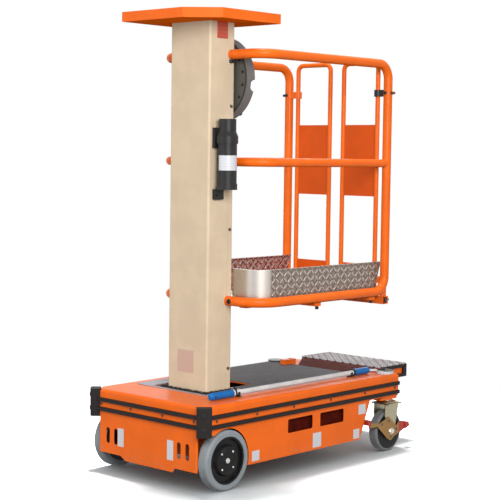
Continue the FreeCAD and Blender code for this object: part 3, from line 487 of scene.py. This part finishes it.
def ring_faces(rows, count):
    """Faces over rows of count points, where point (i, j) has the number i * count + j: quads from
    row to row, then a cap on the first row and one on the last."""
    i, j = np.meshgrid(np.arange(rows - 1), np.arange(count), indexing="ij")
    k = (j + 1) % count
    quads = np.stack([i * count + j, i * count + k, (i + 1) * count + k, (i + 1) * count + j], -1)
    faces = quads.reshape(-1, 4).tolist()
    faces.append(list(range(count))[::-1])
    faces.append([(rows - 1) * count + n for n in range(count)])
    return faces


def lathe(profile, count=24):
    """Surface of revolution. Profile rows are radius and height in millimetres, and hexness; point
    (i, j) is at radius r_i times the hexagon factor, angle 2 pi j / count and height h_i."""
    rows = np.array([(*p, 0.0)[:3] for p in profile], float)
    angle = np.arange(count) * 2 * math.pi / count
    r = rows[:, :1] * hexed(angle[None, :], rows[:, 2:3])
    verts = np.stack([r * np.cos(angle), r * np.sin(angle), np.repeat(rows[:, 1:2], count, 1)], -1)
    return verts.reshape(-1, 3) * MM, ring_faces(len(rows), count)


def slab(wide, tall, thick, corner, edge=0.0):
    """Rounded plate in XY, sizes in millimetres. Its outline goes round four corner arcs; the rings
    are the foot, the wall, and the top moved in by edge."""
    turn = np.linspace(0, math.pi / 2, CORNER_POINTS)
    centres = np.array([(1, 1), (-1, 1), (-1, -1), (1, -1)]) * (np.array([wide, tall]) / 2 - corner)
    a = (np.arange(4)[:, None] * math.pi / 2 + turn).reshape(-1)
    middle = np.repeat(centres, len(turn), 0)
    out = np.stack([np.cos(a), np.sin(a)], -1)
    rings = []
    for inset, z in ((0, 0), (0, thick - edge), (edge, thick)):
        rings.append(np.column_stack([middle + out * (corner - inset), np.full(len(a), z)]))
    return np.concatenate(rings) * MM, ring_faces(len(rings), len(a))


def turned(axis, spin=0.0):
    """Rotation that takes +Z to axis, after a turn of spin about it."""
    axis = Vector(axis).normalized()
    base = Vector((0, 0, 1)).rotation_difference(axis).to_matrix()
    return np.array(base @ Matrix.Rotation(spin, 3, "Z"))


def copies(shape, places):
    """The shape at each place. Places are (origin, axis, spin); all copies are one array."""
    verts, faces = shape
    turns = np.array([turned(axis, spin) for origin, axis, spin in places])
    origins = np.array([origin for origin, axis, spin in places], float)
    moved = np.einsum("nij,vj->nvi", turns, verts) + origins[:, None]
    many = []
    for n in range(len(places)):
        many += [[v + n * len(verts) for v in f] for f in faces]
    return moved.reshape(-1, 3), many


def merged(shapes):
    """Several shapes as one."""
    verts, faces, shift = [], [], 0
    for v, f in shapes:
        verts.append(v)
        faces += [[n + shift for n in face] for face in f]
        shift += len(v)
    return np.concatenate(verts), faces


def piece(name, shape, material, body, smooth=True):
    """One new object from a shape, carried by a body."""
    verts, faces = shape
    mesh = bpy.data.meshes.new(name)
    mesh.from_pydata(verts.tolist(), [], faces)
    mesh.materials.append(material)
    if smooth:
        mesh.shade_smooth()
        mesh.set_sharp_from_angle(angle=SHARP_FROM)
    else:
        mesh.shade_flat()
    obj = bpy.data.objects.new(name, mesh)
    bpy.context.collection.objects.link(obj)
    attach(obj, body)
    return obj


# Driving places, all from the modelled nodes
deck_lo, deck_hi = span("deck_cover")
X0 = deck_lo[0]
HALF = deck_hi[1]
DECK = deck_hi[2]


# Screw and bolt shapes from a radius and a height in millimetres
def socket_screw(r, h):
    """Round head with a hexagon socket in it."""
    return lathe([(r, 0), (r, h * 0.7), (r * 0.86, h), (r * 0.52, h, 1), (r * 0.5, h * 0.35, 1)])


def hex_bolt(r, h):
    """Hexagon head on a thin washer."""
    return lathe([(r * 1.35, 0), (r * 1.35, h * 0.22), (r, h * 0.22, 1), (r, h * 0.92, 1),
                  (r * 0.85, h, 0.6)])


# Materials of the added pieces
# Dark orange-brown heads of the band screws and of the near hinge bolt
dark_orange_steel = plastic("dark_orange_steel", (0.16, 0.055, 0.03), 0.45)
olive_steel = plastic("olive_steel", (0.11, 0.085, 0.055), 0.4)
dark_steel = metal("dark_steel", (0.10, 0.095, 0.09), 0.45, FINE)
bright_steel = metal("bright_steel", (0.70, 0.69, 0.66), 0.3, FINE)
black = MATERIALS["black_plastic"]
white_label = sticker("blank_label", (0.66, 0.67, 0.70), (0.40, 0.40, 0.43), 90.0)
red_label = sticker("blank_red_plate", (0.52, 0.055, 0.018), (0.62, 0.16, 0.08), 60.0)
pink_label = sticker("blank_data_plate", (0.62, 0.40, 0.31), (0.42, 0.27, 0.22), 130.0)


def assign_materials():
    """Every CAD node gets the material of its slot, or one of its own where it looks different."""
    slots = {s["node"]: s["material_slot"] for s in frame["record"]["subparts"]}
    own = {"hand_wheel": hand_wheel_material(), "rim_near": rim_material(),
           "deck_pole": pole_material(span("deck_pole")[1][0], DECK + POLE_HEAD_TOP),
           "step_apron": apron_reflection_material(), "gate_hinges": hinge_material(),
           "step_tread": tread_material(), "toe_boards": toe_material(X0 + TOE_RUN),
           "deck_fittings": fittings_material(CAP_SPLIT), "ballast_box": ballast_shade_material()}
    own["rim_far"] = own["rim_near"]
    for tag in ("near", "far"):
        lo, hi = span("castor_wheel_" + tag)
        own["castor_wheel_" + tag] = castor_wheel_material((lo + hi) / 2)
        own["castor_brake_" + tag] = brake_material(span("castor_brake_" + tag)[1][0])
    own["axle_brackets"] = dark_steel
    # Gate panels take the darker orange of painted shade
    own["gate_panels_near"] = paint("panel_paint_shaded", PANEL_SHADED_ORANGE, 0.45, coat=0.05, specular=0.1)
    own["gate_panels_far"] = own["gate_panels_near"]
    own["opening_plate"] = plastic("opening_plate", (0.31, 0.29, 0.31), 0.45, specular=0.4)
    for name, obj in frame["nodes"].items():
        obj.data.materials.clear()
        obj.data.materials.append(own.get(name, MATERIALS[slots[name]]))


def chassis_screws():
    """Screws in the painted band between the strips, and two bolts in each corner bumper."""
    strip_lo, strip_hi = span("edge_strips")
    z = (strip_lo[2] + strip_hi[2]) / 2 + 1 * MM
    places = [((X0, y * MM, z), (-1, 0, 0), SOME) for y in END_SCREWS]
    for side in (NEAR, FAR):
        places += [((X0 + x * MM, side * HALF, z), (0, side, 0), SOME) for x in SIDE_SCREWS]
    piece("band_screws", copies(socket_screw(*BAND_SCREW), places), dark_orange_steel, "chassis")
    lo, hi = span("corner_bumpers")
    inset, out = 23 * MM, 45 * MM * FLAT
    bolts = []
    for side in (NEAR, FAR):
        for z in (hi[2] - 28 * MM, lo[2] + 33 * MM):
            face = (X0 + inset - out, side * (HALF - inset + out), z)
            bolts.append((face, (-FLAT, side * FLAT, 0), SMALL))
    piece("bumper_bolts", copies(socket_screw(*BUMPER_BOLT), bolts), black, "chassis")


def film(wide, tall, place, out, spin=0.0):
    """Thin blank film, wide and tall in millimetres, stuck on at a place and facing out."""
    return copies(slab(wide, tall, FILM, LABEL_CORNER), [(place, out, spin)])


def blank_labels():
    """Blank stickers on the skirts, the mast and the document tube."""
    plates = []
    for y, z, wide, tall in END_LABELS:
        plates.append(film(tall, wide, (X0, y * MM, z * MM), (-1, 0, 0), math.pi))
    for side in (NEAR, FAR):
        for x, z, wide, tall in SIDE_LABELS:
            plates.append(film(wide, tall, (X0 + x * MM, side * HALF, z * MM), (0, side, 0)))
    piece("skirt_labels", merged(plates), white_label, "chassis", False)
    front, near_face, foot = span("mast_column")[0]
    x, z = SIDE_PLATE_AT
    lid = copies(slab(*SIDE_PLATE), [((X0 + x * MM, near_face, z * MM), (0, -1, 0), 0)])
    piece("mast_side_plate", lid, red_label, "carriage", False)
    y, z, wide, tall = DATA_PLATE
    data = film(wide, tall, (front, y * MM, z * MM), (-1, 0, 0))
    piece("mast_data_plate", data, pink_label, "carriage", False)
    lo, hi = span("document_tube")
    axis = (lo + hi) / 2
    r, foot, top, start, end = TUBE_LABEL
    angle = np.linspace(math.radians(start), math.radians(end), TUBE_LABEL_POINTS)
    rows = []
    for z in (foot, top):
        rows.append(np.column_stack([axis[0] + r * MM * np.cos(angle), axis[1] + r * MM * np.sin(angle),
                                     np.full(len(angle), z * MM)]))
    n = len(angle)
    quads = [[i, i + 1, n + i + 1, n + i] for i in range(n - 1)]
    piece("tube_label", (np.concatenate(rows), quads), white_label, "carriage")


def lozenge():
    """Raised lens of checker plate: outline x = L/2 cos a, y = W/2 sin a, in rings that shrink as
    they rise. It has no underside."""
    a = np.arange(LOZENGE_SIDES) * 2 * math.pi / LOZENGE_SIDES
    rings = []
    for size, rise in LOZENGE_RINGS:
        rings.append(np.column_stack([np.cos(a) * LOZENGE_LEN / 2 * (0.3 + 0.7 * size),
                                      np.sin(a) * LOZENGE_WIDE / 2 * size,
                                      np.full(LOZENGE_SIDES, rise * LOZENGE_H)]))
    faces = ring_faces(len(rings), LOZENGE_SIDES)
    return np.concatenate(rings), faces[:-2] + faces[-1:]


def checker(origin, along, across, normal, wide, tall, keep=None):
    """Places of lozenges over a flat face, turned by 45 degrees one way and the other by turns."""
    nx = max(1, int(wide / LOZENGE_PITCH))
    ny = max(1, int(tall / LOZENGE_PITCH))
    places = []
    base = turned(normal)
    for i in range(nx):
        for j in range(ny):
            u = (i + 0.5) * wide / nx
            v = (j + 0.5) * tall / ny
            if keep is not None and not keep(u, v):
                continue
            way = along if (i + j) % 2 else -along
            line = (across + way) * FLAT
            local = base.T @ line
            places.append((origin + along * u + across * v, normal, math.atan2(local[1], local[0])))
    return places


def step_patterns(shape):
    """Raised pattern on the step and on its apron."""
    ex, ey, ez = np.eye(3)
    lo, hi = span("step_tread")
    side, end = 6 * MM, 8 * MM
    tread = checker(np.array([lo[0] + side, lo[1] + end, hi[2]]), ex, ey, ez,
                    hi[0] - lo[0] - 2 * side, hi[1] - lo[1] - 2 * end)
    grey = metal("checker_grey", (0.16, 0.14, 0.14), 0.45, FINE)
    piece("step_checker", copies(shape, tread), grey, "chassis")
    lo, hi = span("step_apron")
    foot = DECK + 2 * MM
    run = hi[0] - lo[0]
    slope = np.array([run, 0, hi[2] - foot])
    slope /= np.linalg.norm(slope)
    normal = np.array([-slope[2], 0, slope[0]])
    half_low, half_high, edge = 150 * MM, 240 * MM, 20 * MM
    start = 4 * MM

    def on_apron(u, v):
        """Inside the apron, which widens from the deck to the step."""
        return abs(v + lo[1]) < half_low + (half_high - half_low) * u / run - edge

    rows = checker(np.array([lo[0] + start, lo[1], foot + 0.6 * MM]), slope, ey, normal, run - start,
                   hi[1] - lo[1], on_apron)
    # The apron's lozenges carry the same painted reflection of the shaded deck
    piece("apron_checker", copies(shape, rows), apron_reflection_material(), "chassis")


def platform_patterns(shape):
    """Raised pattern on the platform floor and on both faces of the toe boards."""
    ex, ey, ez = np.eye(3)
    lo, hi = span("platform_floor")
    wide = 2 * hi[1]
    corner, edge = 84 * MM, 14 * MM

    def on_floor(u, v):
        """Inside the floor, away from its round corners at the mast."""
        from_side = min(v, wide - v)
        if u < corner and from_side < corner:
            return math.hypot(corner - u, corner - from_side) < corner - edge
        return True

    start = X0 + 412 * MM
    floor = checker(np.array([start, lo[1], hi[2]]), ex, ey, ez, hi[0] - start - 4 * MM, wide, on_floor)
    piece("floor_checker", copies(shape, floor), MATERIALS["aluminium"], "carriage")
    lo, hi = span("toe_boards")
    start = X0 + TOE_RUN
    reach = hi[0] - start - 6 * MM
    thick, foot, tall = 3 * MM, 10 * MM, 138 * MM
    cut, steepness = 125 * MM, 2.6

    def clear(u, v):
        """Inside the board, away from its cut lower corner."""
        return v > cut - (reach - u) * steepness

    boards = []
    for side in (NEAR, FAR):
        for out in (1, -1):
            y = side * (hi[1] if out > 0 else hi[1] - thick)
            boards += checker(np.array([start, y, lo[2] + foot]), ex, ez,
                              np.array([0, side * out, 0.0]), reach, tall, clear)
    piece("toe_checker", copies(shape, boards), MATERIALS["aluminium"], "carriage")


def brush():
    """Bristle tufts of the seal, leaning in from the deck opening towards the mast."""
    lo, hi = span("brush_seal")
    mast_lo, mast_hi = span("mast_column")
    gap, edge, past, step = 6 * MM, 21 * MM, 12 * MM, 6.2 * MM
    start = 4 * MM
    z = hi[2] + 1 * MM
    far_side = mast_hi[1] + gap + edge

    def lean(sway_at):
        """Sideways and upward part of a tuft's lean, which sways along the row."""
        return 0.25 * math.sin(sway_at * 900), 0.42 + 0.1 * math.sin(sway_at * 1700)

    places = []
    for side, y in ((NEAR, lo[1]), (FAR, far_side)):
        for x in np.arange(mast_lo[0] - past, mast_hi[0] + past, step):
            sway, rise = lean(x)
            places.append(((x, y, z), (sway, -side, rise), 0))
    for y in np.arange(lo[1] + start, far_side, step):
        sway, rise = lean(y)
        places.append(((mast_lo[0] - gap - edge + start, y, z), (1, sway, rise), 0))
    piece("brush_tufts", copies(lathe(BRISTLE, 7), places), MATERIALS["black_rubber"], "chassis")


def mast_details():
    """Screws down the mast sides, and the plugs and brackets at the rail roots."""
    half = span("mast_column")[1][1]
    x, *heights = MAST_SCREWS
    places = []
    for side in (NEAR, FAR):
        places += [((X0 + x * MM, side * half, z * MM), (0, side, 0), MORE) for z in heights]
    piece("mast_screws", copies(socket_screw(*MAST_SCREW), places), olive_steel, "carriage")
    lo, hi = span("guard_rail_near")
    plugs, brackets = [], []
    for side in (NEAR, FAR):
        x, y, above = (n * MM for n in ROOT_PLUG_AT)
        plugs.append(((X0 + x, side * y, lo[2] + above), (-1, 0, 0), 0))
        x, y, below = (n * MM for n in ROOT_BRACKET_AT)
        brackets.append(((X0 + x, side * y, hi[2] - below), (0, side, 0), 0))
    piece("root_plugs", copies(socket_screw(*ROOT_PLUG), plugs), black, "carriage")
    piece("root_brackets", copies(slab(*ROOT_BRACKET), brackets), black, "carriage")


def hinge_details():
    """Bolt through each post at its upper gate hinge: head on the inside, thread on the outside."""
    lo, hi = span("gate_hinges")
    x = (lo[0] + hi[0]) / 2
    z = hi[2] - 16 * MM
    post_y, post_r = 307 * MM, 20.5 * MM
    thread = lathe(HINGE_THREAD, 18)
    for (side, tag), look in zip(SIDES, (dark_orange_steel, black)):
        end = [((x, side * (post_y + post_r), z), (0, side, 0), SLIGHT)]
        piece("hinge_bolt_" + tag, copies(thread, end), look, "carriage")
    heads = [((x - post_r, side * post_y, z), (-1, 0, 0), SLIGHT) for side in (NEAR, FAR)]
    piece("hinge_heads", copies(lathe(HINGE_HEAD, 18), heads), black, "carriage")


def hand_wheel_details():
    """Bolts round the face towards the mast, the seam of the rim, and the ribs of the grip."""
    body = "hand_wheel"
    lo, hi = span("hand_wheel")
    x = lo[0]
    mid_y, mid_z = ((lo + hi) / 2)[1:]
    ring_r, count = 161 * MM, 18
    dots = []
    for k in range(count):
        a = math.radians(10 + 360 / count * k)
        dots.append(((x + 0.2 * MM, mid_y + ring_r * math.cos(a), mid_z + ring_r * math.sin(a)),
                     (-1, 0, 0), a))
    piece("wheel_face_bolts", copies(socket_screw(*FACE_DOT), dots), black, body)
    rim = (hi[2] - lo[2]) / 2 / MM
    inside, outside, back, front = rim - 8.5, rim - 5, -0.4, 1.2
    around = 96
    verts, faces = lathe([(inside, back), (outside, back), (outside, front), (inside, front)], around)
    closing = [[j, (j + 1) % around, 3 * around + (j + 1) % around, 3 * around + j] for j in range(around)]
    seam = copies((verts, faces[:-2] + closing), [((x, mid_y, mid_z), (-1, 0, 0), 0)])
    piece("wheel_seam", seam, black, body)
    lo, hi = span("hand_grip")
    mid = (lo + hi) / 2
    spots = [((lo[0] + (12 + 9 * i) * MM, mid[1], mid[2]), (1, 0, 0), 0) for i in range(9)]
    piece("grip_ribs", copies(lathe(GRIP_RIB), spots), black, body)


def wheel_details():
    """Screws and axle cap of each main wheel, and the black ring inside the tyre."""
    ring_r = 47 * MM
    for side, tag in SIDES:
        body = "wheel_" + tag
        lo, hi = span("rim_" + tag)
        x, _, z = (lo + hi) / 2
        face = lo[1] if side == NEAR else hi[1]
        out = (0, side, 0)
        screws = []
        for k in range(4):
            a = math.radians(47 + 90 * k)
            screws.append(((x + ring_r * math.cos(a), face, z + ring_r * math.sin(a)), out, a))
        piece("hub_screws_" + tag, copies(socket_screw(*HUB_SCREW), screws), bright_steel, body)
        on_axle = [((x, face, z), out, 0)]
        piece("hub_cap_" + tag, copies(lathe(HUB_CAP), on_axle), bright_steel, body)
        verts, faces = lathe(HUB_GROOVE, 64)
        piece("hub_ring_" + tag, copies((verts, faces[:-2]), on_axle), MATERIALS["black_rubber"], body)


def castor_details():
    """Axle nuts, swivel race, brake rivets and wheel bearings of each castor."""
    for side, tag in SIDES:
        body = "castor_" + tag
        lo, hi = span("castor_wheel_" + tag)
        x, y, z = (lo + hi) / 2
        outer, inner = y + side * 38 * MM, y - side * 34 * MM
        nuts = [((x, outer, z), (0, side, 0), SMALL), ((x, inner, z), (0, -side, 0), SMALL)]
        piece("castor_nuts_" + tag, copies(lathe(CASTOR_NUT), nuts), bright_steel, body)
        race = [((X0 + SWIVEL_X, y, SWIVEL_Z), (0, 0, 1), 0)]
        piece("castor_race_" + tag, copies(lathe(CASTOR_RACE, 48), race), MATERIALS["zinc"], body)
        rivets = [((X0 + a * MM, outer, b * MM), (0, side, 0), 0) for a, b in BRAKE_RIVETS]
        piece("brake_rivets_" + tag, copies(lathe(RIVET, 16), rivets), dark_steel, body)
        discs = [((x, y + way * 22.9 * MM, z), (0, way, 0), 0) for way in (-1, 1)]
        piece("castor_bearings_" + tag, copies(lathe(BEARING, 32), discs), bright_steel,
              "castor_roll_" + tag)


def pole_details():
    """End plug of the pole, its lock hole, the rings beside its clips and the clip screws."""
    lo, hi = span("pole_grips")
    y = -248 * MM
    z = (lo[2] + hi[2]) / 2
    round_count = 28

    def along(x):
        """Place on the pole's axis, turned along it."""
        return (X0 + x * MM, y, z), (1, 0, 0), 0

    rings = copies(lathe(POLE_RING, round_count), [along(277), along(1090)])
    piece("pole_rings", rings, black, "chassis")
    collar = copies(lathe(POLE_COLLAR, round_count), [along(265.5)])
    piece("pole_collar", collar, MATERIALS["white_plastic"], "chassis")
    plug = copies(lathe(POLE_PLUG, round_count), [((X0 + 138.5 * MM, y, z), (-1, 0, 0), 0)])
    piece("pole_plug", plug, MATERIALS["blue_plastic"], "chassis")
    spot = (X0 + 150 * MM, y - 15.8 * MM, z - 1 * MM)
    hole = copies(lathe(POLE_HOLE, 20), [(spot, (0, -1, 0), 0)])
    piece("pole_hole", hole, black, "chassis")
    screws = [((X0 + x * MM, y - 20 * MM, DECK), (0, 0, 1), SOME) for x in (298, 1034, 1072)]
    piece("clip_screws", copies(socket_screw(*CLIP_SCREW), screws), dark_steel, "chassis")


def frame_details():
    """Nut and pin at both ends of the platform's end member."""
    lo, hi = span("floor_frame")
    z = lo[2] + 19 * MM
    nuts, pins = [], []
    for side in (NEAR, FAR):
        nuts.append(((hi[0] - 24 * MM, side * (hi[1] - 1 * MM), z), (0, side, 0), SOME))
        pins.append(((hi[0], side * (hi[1] - 12 * MM), z), (1, 0, 0), SMALL))
    piece("member_nuts", copies(hex_bolt(*MEMBER_NUT), nuts), dark_steel, "carriage")
    piece("member_pins", copies(lathe(MEMBER_PIN, 18), pins), dark_steel, "carriage")


def camera():
    """Photo camera from its place, heading, pitch, roll and focal length in pixels."""
    az, pitch, roll = (math.radians(a) for a in (CAM_AZ, CAM_PITCH, CAM_ROLL))
    fwd = Vector((math.cos(az) * math.cos(pitch), math.sin(az) * math.cos(pitch), math.sin(pitch)))
    right = Vector((math.sin(az), -math.cos(az), 0))
    up = right.cross(fwd)
    right_rolled = math.cos(roll) * right + math.sin(roll) * up
    up_rolled = -math.sin(roll) * right + math.cos(roll) * up
    data = bpy.data.cameras.new("photo_camera")
    data.sensor_width = SENSOR
    data.lens = FOCAL_PX / PHOTO_PX * SENSOR
    obj = bpy.data.objects.new("photo_camera", data)
    bpy.context.collection.objects.link(obj)
    rot = Matrix((right_rolled, up_rolled, -fwd)).transposed().to_4x4()
    obj.matrix_world = Matrix.Translation((X0 + CAM_BACK, CAM_SIDE, CAM_UP)) @ rot
    bpy.context.scene.camera = obj


def area(name, place, size, power, target):
    """Soft square light at a place, aimed at a target."""
    data = bpy.data.lights.new(name, "AREA")
    data.size = size
    data.energy = power
    obj = bpy.data.objects.new(name, data)
    obj.location = place
    aim = Vector(target) - Vector(place)
    obj.rotation_euler = aim.to_track_quat("-Z", "Y").to_euler()
    bpy.context.collection.objects.link(obj)
    return obj


def seen(tree):
    """1 for rays that come from the camera, straight or by way of a gloss or a clear part."""
    ray = tree.nodes.new("ShaderNodeLightPath")
    total = ray.outputs["Is Camera Ray"]
    for kind in ("Is Glossy Ray", "Is Transmission Ray"):
        more = tree.nodes.new("ShaderNodeMath")
        more.operation = "MAXIMUM"
        tree.links.new(total, more.inputs[0])
        tree.links.new(ray.outputs[kind], more.inputs[1])
        total = more.outputs[0]
    return total


def studio_world():
    """White where it is seen, and a softer even light on everything else."""
    world = bpy.data.worlds.new("studio")
    bpy.context.scene.world = world
    world.use_nodes = True
    tree = world.node_tree
    tree.nodes.clear()
    out = tree.nodes.new("ShaderNodeOutputWorld")
    mix = tree.nodes.new("ShaderNodeMixShader")
    tree.links.new(seen(tree), mix.inputs[0])
    for i, strength in ((1, AMBIENT), (2, 1.0)):
        light = tree.nodes.new("ShaderNodeBackground")
        light.inputs["Color"].default_value = (*WHITE, 1)
        light.inputs["Strength"].default_value = strength
        tree.links.new(light.outputs[0], mix.inputs[i])
    tree.links.new(mix.outputs[0], out.inputs[0])


def floor_material():
    """White floor. Seen, it keeps the shadow near the machine and turns plain white farther out;
    for the light that it throws back up it is a mid grey. From below it is clear."""
    s = Shader("white_floor")
    bounce = s.add("ShaderNodeBsdfDiffuse", Color=FLOOR_BOUNCE).outputs[0]
    shade = s.add("ShaderNodeBsdfDiffuse", Color=FLOOR_GAIN).outputs[0]
    plain = s.add("ShaderNodeEmission", Color=WHITE, Strength=1.0).outputs[0]
    clear = s.add("ShaderNodeBsdfTransparent").outputs[0]
    far = s.between(s.vector("LENGTH", s.place).outputs["Value"], *FLOOR_FADE)
    glossy = s.add("ShaderNodeLightPath").outputs["Is Glossy Ray"]
    shown = s.blend(s.math("MAXIMUM", far, glossy), shade, plain)
    above = s.blend(seen(s.tree), bounce, shown)
    both = s.blend(s.add("ShaderNodeNewGeometry").outputs["Backfacing"], above, clear)
    s.put(s.tree.nodes["Material Output"], "Surface", both)
    return s.material


def lighting():
    """White studio: an even world, three side lamps and a top lamp. Light linking keeps the side
    lamps off the floor, and gives it a shadow light that falls on nothing else."""
    studio_world()
    sides = [area(*lamp, LOOK_AT) for lamp in SIDE_LAMPS]
    area(*TOP_LAMP, (0, 0, 0))
    shade = area(*SHADOW_LAMP, (0, 0, 0))
    mesh = bpy.data.meshes.new("studio_floor")
    corners = [(i * FLOOR_HALF, j * FLOOR_HALF, 0) for i, j in ((-1, -1), (1, -1), (1, 1), (-1, 1))]
    mesh.from_pydata(corners, [], [(0, 1, 2, 3)])
    mesh.materials.append(floor_material())
    floor = bpy.data.objects.new("studio_floor", mesh)
    bpy.context.collection.objects.link(floor)
    kept_off = bpy.data.collections.new("lit_by_top_only")
    kept_off.objects.link(floor)
    kept_off.collection_objects[0].light_linking.link_state = "EXCLUDE"
    for lamp in sides:
        lamp.light_linking.receiver_collection = kept_off
    floor_only = bpy.data.collections.new("floor_only")
    floor_only.objects.link(floor)
    shade.light_linking.receiver_collection = floor_only
    bpy.context.scene.view_settings.view_transform = "Standard"


assign_materials()
chassis_screws()
blank_labels()
step_patterns(lozenge())
platform_patterns(lozenge())
brush()
mast_details()
hinge_details()
hand_wheel_details()
wheel_details()
castor_details()
pole_details()
frame_details()
camera()
lighting()
